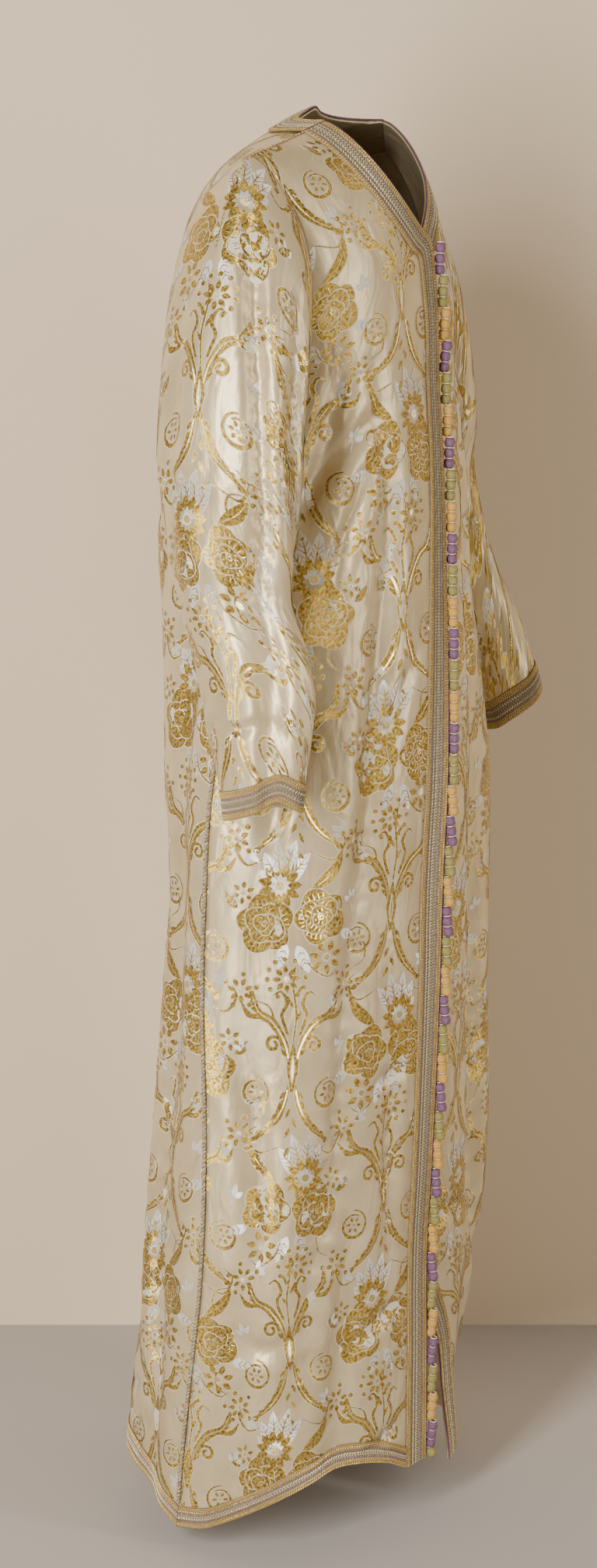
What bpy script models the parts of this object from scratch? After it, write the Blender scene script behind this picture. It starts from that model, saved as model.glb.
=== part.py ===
"""Moroccan kaftan in its worn form: two fronts, a back and two sleeves of brocade, woven braid
along the edges, twisted cord down the side seams and a long row of knotted silk buttons.

Metres, +Z up. The kaftan faces -Y and the wearer's right is -X. The origin is the middle of the
neck at shoulder height, where the wearer holds it up.
"""

import math

import bmesh
import bpy
import numpy as np

# Cloth, seams and trimmings
WALL = 0.0016
GAP = 0.0003
BRAID_THICK = 0.0018
BRAID_WIDTH = 0.032
HEM_BRAID_WIDTH = 0.024
CUFF_BRAID_WIDTH = 0.028
NECK_BACK_LIFT = 0.0009
CORD_RADIUS = 0.0022

# Places on the wearer: heights are above the floor, forward is towards the front
ORIGIN_HEIGHT, ORIGIN_FORWARD, ORIGIN_ACROSS = 1.44, 0.051, 0.012
UNDERARM = 1.20
NECK_SIDE_FORWARD, SHOULDER_BACKWARD = 0.0315, 0.376
NECK_HALF, SHOULDER_HALF = 0.078, 0.175
NECK_SIDE_HEIGHT, SHOULDER_SLOPE = 1.442, 0.33
NECK_FRONT_OVER = math.radians(26.5)
NECK_BACK_DROP = 0.352
FRONT_OVER, BACK_OVER = (1.4, 0.9), (1.0, 0.65)
YOKE_WIDEN = 0.060
RIDGE_AT, RIDGE_SOFT, RIDGE_REACH = 0.012, 0.012, 0.035
CHEST_SQUARE, SKIRT_SQUARE = 2.4, 2.05

# The fronts lap: the left edge lies this far past the middle, and this deep under the right front
LAP, LAP_DEEP = 0.018, 0.0062
LAP_FULL, LAP_END = 0.012, 0.036
LAP_REACH = 0.1

# The cloth round the body at each height. The widest place is at side; ridge is the slope of the
# cloth on either side of the middle, and twist turns the body to the wearer's left
BODY_COLUMNS = ("height", "right_half", "left_half", "front", "side", "back", "ridge", "twist")
BODY = (
    (0.02, 0.204, 0.163, 0.132, -0.042, -0.195, 0.20, 0),
    (0.10, 0.207, 0.172, 0.132, -0.032, -0.190, 0.20, 0),
    (0.20, 0.213, 0.207, 0.131, -0.015, -0.178, 0.10, 0),
    (0.30, 0.218, 0.225, 0.130, 0.002, -0.165, 0.05, 0),
    (0.40, 0.217, 0.223, 0.136, 0.008, -0.150, 0.15, 0),
    (0.50, 0.212, 0.212, 0.141, 0.006, -0.136, 0.25, 0),
    (0.60, 0.209, 0.209, 0.145, 0.002, -0.121, 0.35, 0),
    (0.70, 0.206, 0.206, 0.148, 0.004, -0.110, 0.50, 0),
    (0.80, 0.204, 0.203, 0.151, 0.006, -0.123, 0.50, 1),
    (0.90, 0.190, 0.202, 0.145, 0.004, -0.140, 0.30, 4),
    (1.00, 0.180, 0.195, 0.136, 0.004, -0.155, 0.10, 8),
    (1.10, 0.170, 0.180, 0.129, 0.002, -0.155, 0.00, 11),
    (1.20, 0.168, 0.168, 0.121, -0.004, -0.135, 0.00, 13),
)

# Height of the hem by the angle round the body, from centre front to centre back
HEM_COLUMNS = ("degrees", "right", "left")
HEM = (
    (-12, 0.065, 0.049), (0, 0.065, 0.049), (9, 0.088, 0.056), (18, 0.102, 0.064), (27, 0.107, 0.070),
    (33, 0.107, 0.073), (40, 0.100, 0.072), (54, 0.079, 0.062), (70, 0.045, 0.044), (79, 0.030, 0.034),
    (89, 0.020, 0.025), (100, 0.036, 0.037), (112, 0.054, 0.054), (125, 0.071, 0.071), (145, 0.080, 0.080),
    (180, 0.080, 0.080),
)

# Soft folds from a height down to the hem: the angle at the top, halfway and at the hem, and the form
FOLD_COLUMNS = ("side", "at_top", "at_middle", "at_hem", "top", "wide", "out")
FOLDS = (
    (-1, 42, 24, 45, 1.16, 5.0, -0.0055),
    (-1, 55, 40, 57, 1.00, 7.0, 0.0050),
    (-1, 30, 33, 28, 0.62, 7.0, -0.0050),
    (-1, 76, 72, 74, 0.92, 6.0, -0.0060),
    (-1, 106, 112, 108, 1.10, 7.0, -0.0080),
    (-1, 126, 130, 124, 1.24, 8.0, 0.0050),
    (-1, 144, 148, 146, 1.05, 7.0, -0.0100),
    (-1, 168, 166, 168, 0.90, 7.0, 0.0060),
    (1, 42, 27, 42, 1.16, 5.0, -0.0050),
    (1, 58, 46, 58, 0.98, 7.0, 0.0055),
    (1, 76, 70, 76, 0.80, 6.0, -0.0065),
    (1, 104, 110, 106, 1.12, 7.0, -0.0070),
    (1, 124, 128, 128, 1.22, 8.0, 0.0100),
    (1, 147, 146, 150, 1.00, 7.0, -0.0090),
    (1, 170, 172, 174, 0.70, 6.0, -0.0050),
)
FOLD_EASE = 0.22

# The free edge of the left front, which opens below the last fastened knots
LEFT_EDGE_COLUMNS = ("height", "across", "out")
LEFT_EDGE = ((0.03, 0.040, 0.012), (0.07, 0.037, 0.010), (0.12, 0.030, 0.005), (0.19, 0.024, 0.000),
             (0.22, 0.014, -LAP_DEEP), (0.24, 0.006, -LAP_DEEP), (0.28, -LAP, -LAP_DEEP),
             (1.40, -LAP, -LAP_DEEP))

# Each armhole from the underarm over the shoulder: how far over, and the half width there
ARMHOLE_COLUMNS = ("share", "over_degrees", "half_width")
ARMHOLE = ((0.0, 0, 0.168), (0.1, 6, 0.165), (0.25, 16, 0.160), (0.5, 38, 0.158), (0.75, 63, 0.165),
           (1.0, 90, 0.175))

# Sleeves: centre, half depth from front to back, and half width away from and towards the body
SLEEVE_COLUMNS = ("height", "across", "forward", "half_depth", "outward", "inward", "crease")
SLEEVES = {
    "right": (
        (0.78, 0.223, 0.088, 0.041, 0.030, 0.020, 0.008),
        (0.82, 0.222, 0.086, 0.043, 0.031, 0.020, 0.008),
        (0.86, 0.219, 0.082, 0.053, 0.037, 0.020, 0.009),
        (0.92, 0.215, 0.077, 0.063, 0.043, 0.020, 0.008),
        (0.96, 0.215, 0.068, 0.064, 0.046, 0.022, 0.007),
        (1.00, 0.215, 0.052, 0.061, 0.049, 0.024, 0.005),
        (1.04, 0.216, 0.051, 0.067, 0.052, 0.026, 0.004),
        (1.10, 0.217, 0.050, 0.073, 0.055, 0.031, 0.003),
        (1.16, 0.218, 0.048, 0.080, 0.058, 0.035, 0.000),
    ),
    "left": (
        (0.78, 0.257, 0.080, 0.041, 0.032, 0.028, 0.003),
        (0.82, 0.255, 0.068, 0.043, 0.033, 0.029, 0.003),
        (0.86, 0.251, 0.051, 0.050, 0.038, 0.030, 0.004),
        (0.92, 0.244, 0.024, 0.058, 0.045, 0.030, 0.006),
        (1.00, 0.233, -0.018, 0.066, 0.050, 0.028, 0.005),
        (1.10, 0.219, -0.044, 0.077, 0.054, 0.030, 0.003),
        (1.16, 0.215, -0.034, 0.080, 0.056, 0.034, 0.000),
    ),
}
SLEEVE_TOP = 1.13
CREASE_AT, CREASE_WIDE = math.radians(140), math.radians(15)

# Height of the cuff's lower edge round the wrist, from the body side over the front and outside
CUFF_COLUMNS = ("degrees", "height")
CUFFS = {
    "right": ((0, 0.808), (90, 0.812), (132, 0.824), (148, 0.817), (200, 0.803), (250, 0.797), (360, 0.808)),
    "left": ((0, 0.808), (60, 0.832), (125, 0.850), (180, 0.838), (240, 0.812), (300, 0.800), (360, 0.808)),
}

# The row of knotted buttons, in groups of three of one colour
KNOTS = 121
KNOT_GROUP = 3
KNOT_RADIUS, KNOT_WAIST, KNOT_SIDES = 0.0047, 0.0026, 6
KNOT_LIFT = 0.0032
KNOT_COLOURS = ("purple", "green", "gold")

# How finely each piece is divided
ROWS_SKIRT, ROWS_YOKE, ROWS_CORNER = 19, 10, 3
FRONT_COLUMNS, BACK_SHOULDER_COLUMNS, BACK_NECK_COLUMNS = 9, 4, 12
SLEEVE_RINGS_UPPER, SLEEVE_RINGS_LOWER = 7, 7
STEP = 1e-3

COLOURS = {
    "brocade": ((0.66, 0.55, 0.34), 0.35, 0.25),
    "braid": ((0.45, 0.34, 0.14), 0.60, 0.20),
    "cord": ((0.36, 0.30, 0.20), 0.60, 0.10),
    "purple": ((0.20, 0.09, 0.22), 0.70, 0.00),
    "green": ((0.24, 0.25, 0.07), 0.70, 0.00),
    "gold": ((0.55, 0.36, 0.08), 0.70, 0.00),
}


def read(table, columns, name, at):
    """A column of a table, read smoothly at a value of its first column."""
    keys = [row[0] for row in table]
    values = [row[columns.index(name)] for row in table]
    if at <= keys[0]:
        return values[0]
    if at >= keys[-1]:
        return values[-1]
    k = next(i for i in range(1, len(keys)) if at <= keys[i])
    slopes = []
    for i in (k - 1, k):
        low, high = max(i - 1, 0), min(i + 1, len(keys) - 1)
        slopes.append((values[high] - values[low]) / (keys[high] - keys[low]))
    span = keys[k] - keys[k - 1]
    t = (at - keys[k - 1]) / span
    return (
        (2 * t**3 - 3 * t**2 + 1) * values[k - 1]
        + (t**3 - 2 * t**2 + t) * span * slopes[0]
        + (3 * t**2 - 2 * t**3) * values[k]
        + (t**3 - t**2) * span * slopes[1]
    )


def ease(value, low, high):
    """0 below low, 1 above high and a smooth step between."""
    t = min(1.0, max(0.0, (value - low) / (high - low)))
    return t * t * (3 - 2 * t)


def place(across, forward, height):
    """A point in the part's own frame."""
    return np.array([across - ORIGIN_ACROSS, ORIGIN_FORWARD - forward, height - ORIGIN_HEIGHT])


def place_twisted(across, forward, height):
    """A point of the body cloth, which turns a little to the wearer's left towards the shoulders."""
    twist = math.radians(read(BODY, BODY_COLUMNS, "twist", height))
    return place(
        across * math.cos(twist) + forward * math.sin(twist),
        forward * math.cos(twist) - across * math.sin(twist),
        height,
    )


def unit(v):
    return v / max(np.linalg.norm(v), 1e-12)


def fold_out(side, turn, height):
    """How far the soft folds move the cloth out at this place."""
    total = 0.0
    for row in FOLDS:
        fold = dict(zip(FOLD_COLUMNS, row))
        if fold["side"] != side or height > fold["top"]:
            continue
        down = min(1.0, (fold["top"] - height) / fold["top"])
        ends = (1 - down) * fold["at_top"] + down * fold["at_hem"]
        sway = 4 * down * (1 - down) * (fold["at_middle"] - (fold["at_top"] + fold["at_hem"]) / 2)
        away = (math.degrees(turn) - ends - sway) / fold["wide"]
        total += fold["out"] * math.exp(-away * away) * ease(fold["top"] - height, 0, FOLD_EASE)
    return total


def half_width(side, height):
    return read(BODY, BODY_COLUMNS, "left_half" if side > 0 else "right_half", height)


def section(side, turn, height):
    """Across and forward of the body cloth at a height. Turn runs from 0 at centre front to pi."""
    half = half_width(side, height)
    front, wide, back, ridge = (read(BODY, BODY_COLUMNS, name, height) for name in ("front", "side", "back", "ridge"))
    square = SKIRT_SQUARE + (CHEST_SQUARE - SKIRT_SQUARE) * ease(height, 0.95, 1.15)
    across = side * half * math.sin(turn)
    share = min(1.0, abs(math.sin(turn)))
    depth = max(0.0, 1 - share**square) ** (1 / square)
    if turn <= math.pi / 2:
        beside = math.hypot(across - RIDGE_AT, RIDGE_SOFT) - RIDGE_SOFT
        forward = wide + (front - wide) * depth - ridge * beside * math.exp(-beside / RIDGE_REACH)
    else:
        forward = wide + (back - wide) * depth
    out = fold_out(side, turn, height)
    return across + side * out * math.sin(turn), forward + out * math.cos(turn)


def body(side, turn, level):
    """The body cloth. Level is metres below the underarm, or above it the angle over the shoulder."""
    if level <= 0:
        height = UNDERARM + level
        across, forward = section(side, turn, height)
        if side > 0:
            forward += lap_out(across, height)
        return place_twisted(across, forward, height)
    across, forward = section(side, turn, UNDERARM)
    top = NECK_SIDE_HEIGHT - SHOULDER_SLOPE * (abs(across) - NECK_HALF)
    lean, rise = FRONT_OVER if turn <= math.pi / 2 else BACK_OVER
    level = min(level, math.pi / 2)
    height = UNDERARM + (top - UNDERARM) * math.sin(level) ** rise
    seam = NECK_SIDE_FORWARD - SHOULDER_BACKWARD * (abs(across) - NECK_HALF)
    forward = seam + (forward - seam) * max(0.0, math.cos(level)) ** lean
    if side > 0 and turn <= math.pi / 2:
        forward += lap_out(across, height)
    across *= 1 + YOKE_WIDEN * math.sin(level)
    return place_twisted(across, forward, height)


def lap_out(across, height):
    """The left front dips under the right one, and its open corner turns out at the hem."""
    out = read(LEFT_EDGE, LEFT_EDGE_COLUMNS, "out", height)
    edge = read(LEFT_EDGE, LEFT_EDGE_COLUMNS, "across", height)
    if across > LAP_REACH:
        return 0.0
    shift = edge + LAP
    return out * (1 - ease(across - shift, LAP_FULL, LAP_END))


def normal(side, turn, level):
    """The outward direction of the body cloth."""
    last = math.pi / 2 - 2 * STEP
    level = min(level, last)
    along = body(side, turn + STEP, level) - body(side, turn - STEP, level)
    up = body(side, turn, level + STEP) - body(side, turn, level - STEP)
    out = unit(np.cross(along, up) * side)
    across, forward = section(side, turn, UNDERARM + min(level, 0))
    outward = place_twisted(across, forward, UNDERARM) - place(0, 0, UNDERARM)
    outward[2] = 0.05
    return out if np.dot(out, outward) > 0 else -out


def walk(side, turn, level, direction, distance, steps=4):
    """Moves over the body cloth in a direction in space, and returns the turn and level reached."""
    for _ in range(steps):
        here = body(side, turn, level)
        back = -STEP if level > math.pi / 2 - 2 * STEP else STEP
        jacobian = np.stack(
            [
                (body(side, turn + STEP, level) - here) / STEP,
                (body(side, turn, level + back) - here) / back,
            ],
            axis=1,
        )
        change = np.linalg.lstsq(jacobian, direction * distance / steps, rcond=None)[0]
        turn, level = turn + change[0], min(level + change[1], math.pi / 2)
    return turn, level


def turn_at(across, side, height):
    """The turn where the front cloth is this far across."""
    half = half_width(side, min(height, UNDERARM))
    return math.asin(max(-1.0, min(1.0, side * across / half)))


def hem_rows(count):
    """The rows of the skirt: the hem braid's own three, then an even rise to the underarm."""
    rows = [(0.0, 0.0), (HEM_BRAID_WIDTH / 2, 0.0), (HEM_BRAID_WIDTH, 0.0)]
    return rows + [(HEM_BRAID_WIDTH, (k + 1) / count) for k in range(count)]


def skirt_level(row, turn, side):
    """The level of a skirt row at this turn."""
    lift, share = row
    hem = read(HEM, HEM_COLUMNS, "left" if side > 0 else "right", math.degrees(turn)) + lift
    return hem + share * (UNDERARM - hem) - UNDERARM


def neckline(share, start):
    """Across and angle over the shoulder on the front neckline, from its corner to the shoulder."""
    around = share * math.pi / 2
    across = start + (NECK_HALF - start) * math.sin(around) ** 0.95
    over = NECK_FRONT_OVER + (math.pi / 2 - NECK_FRONT_OVER) * (0.45 * share + 0.55 * (1 - math.cos(around)))
    return across, over


def front_edge(side):
    """(turn, level) down the free edge and round the neck of one front, from the hem to the shoulder."""
    places = []
    for row in hem_rows(ROWS_SKIRT):
        level = skirt_level(row, 0.0, side)
        height = UNDERARM + level
        across = read(LEFT_EDGE, LEFT_EDGE_COLUMNS, "across", height) if side > 0 else 0.0
        places.append((turn_at(across, side, height), level))
    start = -LAP if side > 0 else 0.0
    for k in range(1, ROWS_CORNER + 1):
        places.append((turn_at(start, side, UNDERARM), NECK_FRONT_OVER * k / ROWS_CORNER))
    for k in range(1, ROWS_YOKE - ROWS_CORNER + 1):
        across, over = neckline(k / (ROWS_YOKE - ROWS_CORNER), start)
        widened = across / (1 + YOKE_WIDEN * math.sin(over))
        places.append((turn_at(side * widened, side, UNDERARM), over))
    return places


def armhole(share):
    """(turn from the middle, angle over the shoulder) at a share of the way up an armhole."""
    over = math.radians(read(ARMHOLE, ARMHOLE_COLUMNS, "over_degrees", share))
    half = read(ARMHOLE, ARMHOLE_COLUMNS, "half_width", share)
    full = half_width(1, UNDERARM)
    share_out = min(1.0, half / full / (1 + YOKE_WIDEN * math.sin(over)))
    return math.asin(share_out), over


def evenly(points, fixed, count):
    """Shares along a dense line for a few fixed distances and then even steps to its end."""
    steps = np.linalg.norm(np.diff(points, axis=0), axis=1)
    along = np.concatenate([[0], np.cumsum(steps)])
    wanted = list(fixed) + list(np.linspace(fixed[-1], along[-1], count + 1)[1:])
    return np.interp(wanted, along, np.linspace(0, 1, len(points)))


def front_panel(side):
    """Points, outward directions and (turn, level) of one front, rows from hem to shoulder seam."""
    edge = front_edge(side)
    skirt = hem_rows(ROWS_SKIRT)
    line = np.array([body(side, *at) for at in edge])
    corner = len(skirt) + ROWS_CORNER - 1
    rows = []
    for j, (turn, level) in enumerate(edge):
        before, after = line[max(j - 1, 0)], line[min(j + 1, len(line) - 1)]
        tangent = unit(unit(line[j] - before) + unit(after - line[j]))
        inward = np.cross(normal(side, turn, level), tangent) * side
        inward = unit(inward) if np.dot(inward, [side, 0, 0]) > 0 else -unit(inward)
        if j == len(edge) - 1:
            inward = unit(body(side, turn + STEP, level) - body(side, turn, level))
        reach = BRAID_WIDTH
        if j == corner:
            reach /= max(0.6, np.dot(unit(line[j] - before), tangent))
        places = [(turn, level)]
        places += [walk(side, turn, level, inward, reach * part) for part in (0.5, 1.0)]
        start, stop = places[-1], None
        if j < len(skirt):
            offset = start[1] - skirt_level(skirt[j], start[0], side)
            stop = (math.pi / 2, 0.0)
        else:
            share = (j - len(skirt) + 1) / ROWS_YOKE
            stop = armhole(share)
        dense = []
        for part in np.linspace(0, 1, 80):
            at = start[0] + (stop[0] - start[0]) * part
            if j < len(skirt):
                dense.append((at, skirt_level(skirt[j], at, side) + offset * (1 - part)))
            else:
                dense.append((at, start[1] + (stop[1] - start[1]) * part))
        shares = evenly(np.array([body(side, *at) for at in dense]), [0.0], FRONT_COLUMNS)[1:]
        dense = np.array(dense)
        for part in shares:
            places.append(tuple(np.interp(part, np.linspace(0, 1, len(dense)), dense[:, k]) for k in (0, 1)))
        rows.append(places)
    points = np.array([[body(side, *at) for at in row] for row in rows])
    normals = np.array([[normal(side, *at) for at in row] for row in rows])
    return points, normals


def back_panel():
    """Points and outward directions of the back, columns from the right side to the left."""
    shoulder = np.linspace(SHOULDER_HALF, NECK_HALF, BACK_SHOULDER_COLUMNS + 1)[:-1]
    angles = np.linspace(-math.pi / 2, math.pi / 2, BACK_NECK_COLUMNS + 1)
    top_across = np.concatenate([-shoulder, NECK_HALF * np.sin(angles), shoulder[::-1]])
    full = half_width(1, UNDERARM) * (1 + YOKE_WIDEN)
    top_turns = np.arcsin(top_across / full) / (math.pi / 2)

    def on_back(b, level):
        return (1 if b > 0 else -1), math.pi - abs(b) * math.pi / 2, level

    def even_turns(levels):
        dense = np.linspace(-1, 1, 121)
        points = np.array([body(*on_back(b, levels(b))) for b in dense])
        return 2 * evenly(points, [0.0], len(top_across) - 1) - 1

    rows = []
    for row in hem_rows(ROWS_SKIRT):
        def level_at(b, row=row):
            return skirt_level(row, math.pi - abs(b) * math.pi / 2, 1 if b > 0 else -1)
        rows.append([on_back(b, level_at(b)) for b in even_turns(level_at)])
    base = even_turns(lambda b: 0.0)
    for k in range(1, ROWS_YOKE + 1):
        share = k / ROWS_YOKE
        out, over = armhole(share)
        mixed = (1 - share) * base + share * top_turns
        mixed *= out / (math.pi / 2) / mixed[-1]
        places = []
        for b in mixed:
            across = min(1.0, abs(math.sin(b * math.pi / 2)) * full / NECK_HALF)
            neck = math.acos(NECK_BACK_DROP * math.sqrt(1 - across**2))
            over_here = over * ((1 - share) + share * neck / (math.pi / 2))
            places.append(on_back(b, over_here))
        rows.append(places)
    points = np.array([[body(*at) for at in row] for row in rows])
    normals = np.array([[normal(*at) for at in row] for row in rows])
    return points, normals


def neck_back_braid():
    """Points and outward directions of the braid round the back of the neck."""
    angles = np.linspace(-math.pi / 2, math.pi / 2, BACK_NECK_COLUMNS + 1)
    full = half_width(1, UNDERARM)
    places = []
    for angle in angles:
        across = NECK_HALF * math.sin(angle)
        over = math.acos(NECK_BACK_DROP * math.cos(angle))
        turn = math.pi - math.asin(abs(across) / full / (1 + YOKE_WIDEN * math.sin(over)))
        places.append(((1 if angle > 0 else -1), turn, over))
    line = np.array([body(*at) for at in places])
    grid, normals = [], []
    for j, (side, turn, level) in enumerate(places):
        out = normal(side, turn, level)
        before, after = line[max(j - 1, 0)], line[min(j + 1, len(line) - 1)]
        away = unit(np.cross(out, unit(after - before)))
        sideways = (line[j] - place(0, ORIGIN_FORWARD, UNDERARM))[:2]
        away = away if np.dot(away[:2], sideways) > 0 else -away
        if j in (0, len(places) - 1):
            away = unit(body(side, turn - STEP, level) - body(side, turn, level))
        cells = [(turn, level)] + [walk(side, turn, level, away, BRAID_WIDTH * part) for part in (0.5, 1.0)]
        grid.append([body(side, *at) for at in cells])
        normals.append([normal(side, *at) for at in cells])
    return np.array(grid), np.array(normals)


def sleeve_ring(which, side, angle, height):
    """A point of a sleeve. The angle runs from the body side over the front, outside and back."""
    across, forward, depth, outward, inward, crease = (
        read(SLEEVES[which], SLEEVE_COLUMNS, name, height) for name in SLEEVE_COLUMNS[1:]
    )
    width = inward if math.cos(angle) > 0 else outward
    away = (angle - CREASE_AT) / CREASE_WIDE
    dent = 1 - crease * math.exp(-away * away) / outward
    return place(
        side * (across - math.cos(angle) * width * dent),
        forward + math.sin(angle) * depth * dent,
        height,
    )


def sleeve(which, side, hole, hole_normals):
    """Rings of a sleeve from its armhole down to the cuff, with outward directions."""
    count = len(hole)
    angles = np.linspace(0, 2 * math.pi, count, endpoint=False)
    rings = []
    for k in range(SLEEVE_RINGS_UPPER + 1):
        t = k / SLEEVE_RINGS_UPPER
        ring = []
        for point, angle in zip(hole, angles):
            end = sleeve_ring(which, side, angle, SLEEVE_TOP)
            inward = math.cos(angle)
            leave = np.array([side * (0.085 - 0.045 * inward), -0.09 * math.sin(angle), 0.025 * inward - 0.03])
            arrive = np.array([0.0, 0.0, -0.20 - 0.10 * max(0.0, -inward)])
            ring.append(
                (2 * t**3 - 3 * t**2 + 1) * point + (t**3 - 2 * t**2 + t) * leave
                + (3 * t**2 - 2 * t**3) * end + (t**3 - t**2) * arrive
            )
        rings.append(ring)
    lengths = list(np.linspace(1, 0, SLEEVE_RINGS_LOWER + 1)[1:])
    for share, lift in [(s, CUFF_BRAID_WIDTH) for s in lengths] + [(0, CUFF_BRAID_WIDTH / 2), (0, 0)]:
        ring = []
        for angle in angles:
            low = read(CUFFS[which], CUFF_COLUMNS, "height", math.degrees(angle)) + lift
            ring.append(sleeve_ring(which, side, angle, low + share * (SLEEVE_TOP - low)))
        rings.append(ring)
    points = np.array(rings)
    around = np.roll(points, -1, axis=1) - np.roll(points, 1, axis=1)
    down = np.gradient(points, axis=0)
    normals = np.cross(around, down)
    normals /= np.linalg.norm(normals, axis=2, keepdims=True)
    middle = points.mean(axis=1, keepdims=True)
    if ((points - middle) * normals)[2:].sum() < 0:
        normals = -normals
    shared = normals[0] + hole_normals
    normals[0] = shared / np.linalg.norm(shared, axis=1, keepdims=True)
    return points, normals


def pull_back(points, last_row=False, first_row=False, last_column=False, first_column=False):
    """Draws the chosen borders back by half a seam gap."""
    moved = points.copy()

    def draw(border, inside):
        step = inside - border
        return border + step / np.linalg.norm(step, axis=-1, keepdims=True) * GAP / 2

    if last_row:
        moved[-1] = draw(moved[-1], moved[-2])
    if first_row:
        moved[0] = draw(moved[0], moved[1])
    if last_column:
        moved[:, -1] = draw(moved[:, -1], moved[:, -2])
    if first_column:
        moved[:, 0] = draw(moved[:, 0], moved[:, 1])
    return moved


def cloth(name, outer, normals, thickness, colour, around=False):
    """A wall of cloth: the outer points, the same ones moved in, and the rims between them. The
    seams share their outward directions, so that neighbouring walls meet in a mitre, and all
    walls are cut into triangles alike, so that braid lies flat on its panel."""
    rows, columns = outer.shape[:2]
    inner = outer - normals * thickness
    count = rows * columns
    verts = [tuple(v) for v in np.concatenate([outer.reshape(-1, 3), inner.reshape(-1, 3)])]

    def at(j, i, layer):
        return layer * count + j * columns + i % columns

    def face(*corners):
        faces.append([at(*corner) for corner in corners])

    faces = []
    spans = columns if around else columns - 1
    last_row, last_column = rows - 1, columns - 1
    for i in range(spans):
        for j in range(last_row):
            for layer in (0, 1):
                low, beside, high, above = ((j, i), (j, i + 1), (j + 1, i + 1), (j + 1, i))
                for corners in ((low, beside, high), (low, high, above)):
                    turned = corners if layer == 0 else corners[::-1]
                    face(*((*corner, layer) for corner in turned))
        face((0, i + 1, 0), (0, i, 0), (0, i, 1), (0, i + 1, 1))
        face((last_row, i, 0), (last_row, i + 1, 0), (last_row, i + 1, 1), (last_row, i, 1))
    for j in range(0 if around else last_row):
        face((j, 0, 0), (j + 1, 0, 0), (j + 1, 0, 1), (j, 0, 1))
        face((j + 1, last_column, 0), (j, last_column, 0), (j, last_column, 1), (j + 1, last_column, 1))
    mesh = bpy.data.meshes.new(name)
    mesh.from_pydata(verts, [], faces)
    work = bmesh.new()
    work.from_mesh(mesh)
    if work.calc_volume(signed=True) < 0:
        bmesh.ops.reverse_faces(work, faces=work.faces)
    work.to_mesh(mesh)
    work.free()
    mesh.shade_smooth()
    return show(name, mesh, colour)


def show(name, data, colour):
    """Puts a mesh or curve in the kaftan's collection with its material."""
    piece = bpy.data.objects.new(name, data)
    KAFTAN.objects.link(piece)
    if not data.materials:
        data.materials.append(MATERIALS[colour])
    return piece


def braid(name, points, normals, lift=GAP, around=False):
    """Woven braid that lies on a panel, made from the panel's points moved out."""
    return cloth(name, points + normals * (lift + BRAID_THICK), normals, BRAID_THICK, "braid", around)


def seam_cord(name, side):
    """The twisted cord sewn over a side seam, from the hem to just under the arm."""
    lift = CORD_RADIUS + 2.5 * GAP
    curve = bpy.data.curves.new(name, "CURVE")
    curve.dimensions = "3D"
    curve.bevel_depth = CORD_RADIUS
    curve.bevel_resolution = 1
    curve.use_fill_caps = True
    rows = [(HEM_BRAID_WIDTH + CORD_RADIUS, 0.0)] + hem_rows(ROWS_SKIRT)[3:-2]
    levels = [skirt_level(row, math.pi / 2, side) for row in rows]
    spline = curve.splines.new("POLY")
    spline.points.add(len(levels) - 1)
    for point, level in zip(spline.points, levels):
        at = body(side, math.pi / 2, level) + normal(side, math.pi / 2, level) * lift
        point.co = (*at, 1.0)
    return show(name, curve, "cord")


def knot_profile(knots, length):
    """(radius, height) of a string of round knots, upwards from its foot."""
    profile = [(0.0, 0.0), (KNOT_WAIST, 0.0)]
    for k in range(knots):
        profile.append((KNOT_RADIUS, length * (k + 0.5) / knots))
        profile.append((KNOT_WAIST, length * (k + 1) / knots))
    return profile + [(0.0, length)]


def knot_mesh(name, knots, length):
    """A turned string of knots."""
    mesh = bpy.data.meshes.new(name)
    work = bmesh.new()
    line = [work.verts.new((radius, 0.0, height)) for radius, height in knot_profile(knots, length)]
    edges = [work.edges.new(pair) for pair in zip(line, line[1:])]
    bmesh.ops.spin(
        work, geom=line + edges, cent=(0, 0, 0), axis=(0, 0, 1), angle=2 * math.pi,
        steps=KNOT_SIDES, use_merge=True,
    )
    bmesh.ops.remove_doubles(work, verts=work.verts, dist=1e-5)
    bmesh.ops.recalc_face_normals(work, faces=work.faces)
    work.to_mesh(mesh)
    work.free()
    mesh.shade_smooth()
    return mesh


def knots(edge, edge_normals):
    """The row of knotted buttons beside the right front's edge, from the neck corner to the hem."""
    steps = np.linalg.norm(np.diff(edge, axis=0), axis=1)
    along = np.concatenate([[0], np.cumsum(steps)])
    pitch = along[-1] / KNOTS
    beside = np.array([KNOT_RADIUS + GAP, 0.0, 0.0])
    line = edge + beside + edge_normals * KNOT_LIFT

    def on_line(distance):
        return np.array([np.interp(distance, along, line[:, k]) for k in range(3)])

    for group in range(math.ceil(KNOTS / KNOT_GROUP)):
        count = min(KNOT_GROUP, KNOTS - group * KNOT_GROUP)
        start = on_line(pitch * group * KNOT_GROUP)
        stop = on_line(pitch * (group * KNOT_GROUP + count))
        colour = KNOT_COLOURS[group % len(KNOT_COLOURS)]
        name = f"knots_{group + 1:02d}"
        length = np.linalg.norm(stop - start) - GAP
        piece = show(name, knot_mesh(name, count, length), colour)
        lean = math.acos(max(-1.0, min(1.0, unit(start - stop)[2])))
        heading = math.atan2(*(unit(start - stop)[:2][::-1]))
        piece.location = stop
        piece.rotation_euler = (0.0, lean, heading)


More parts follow.
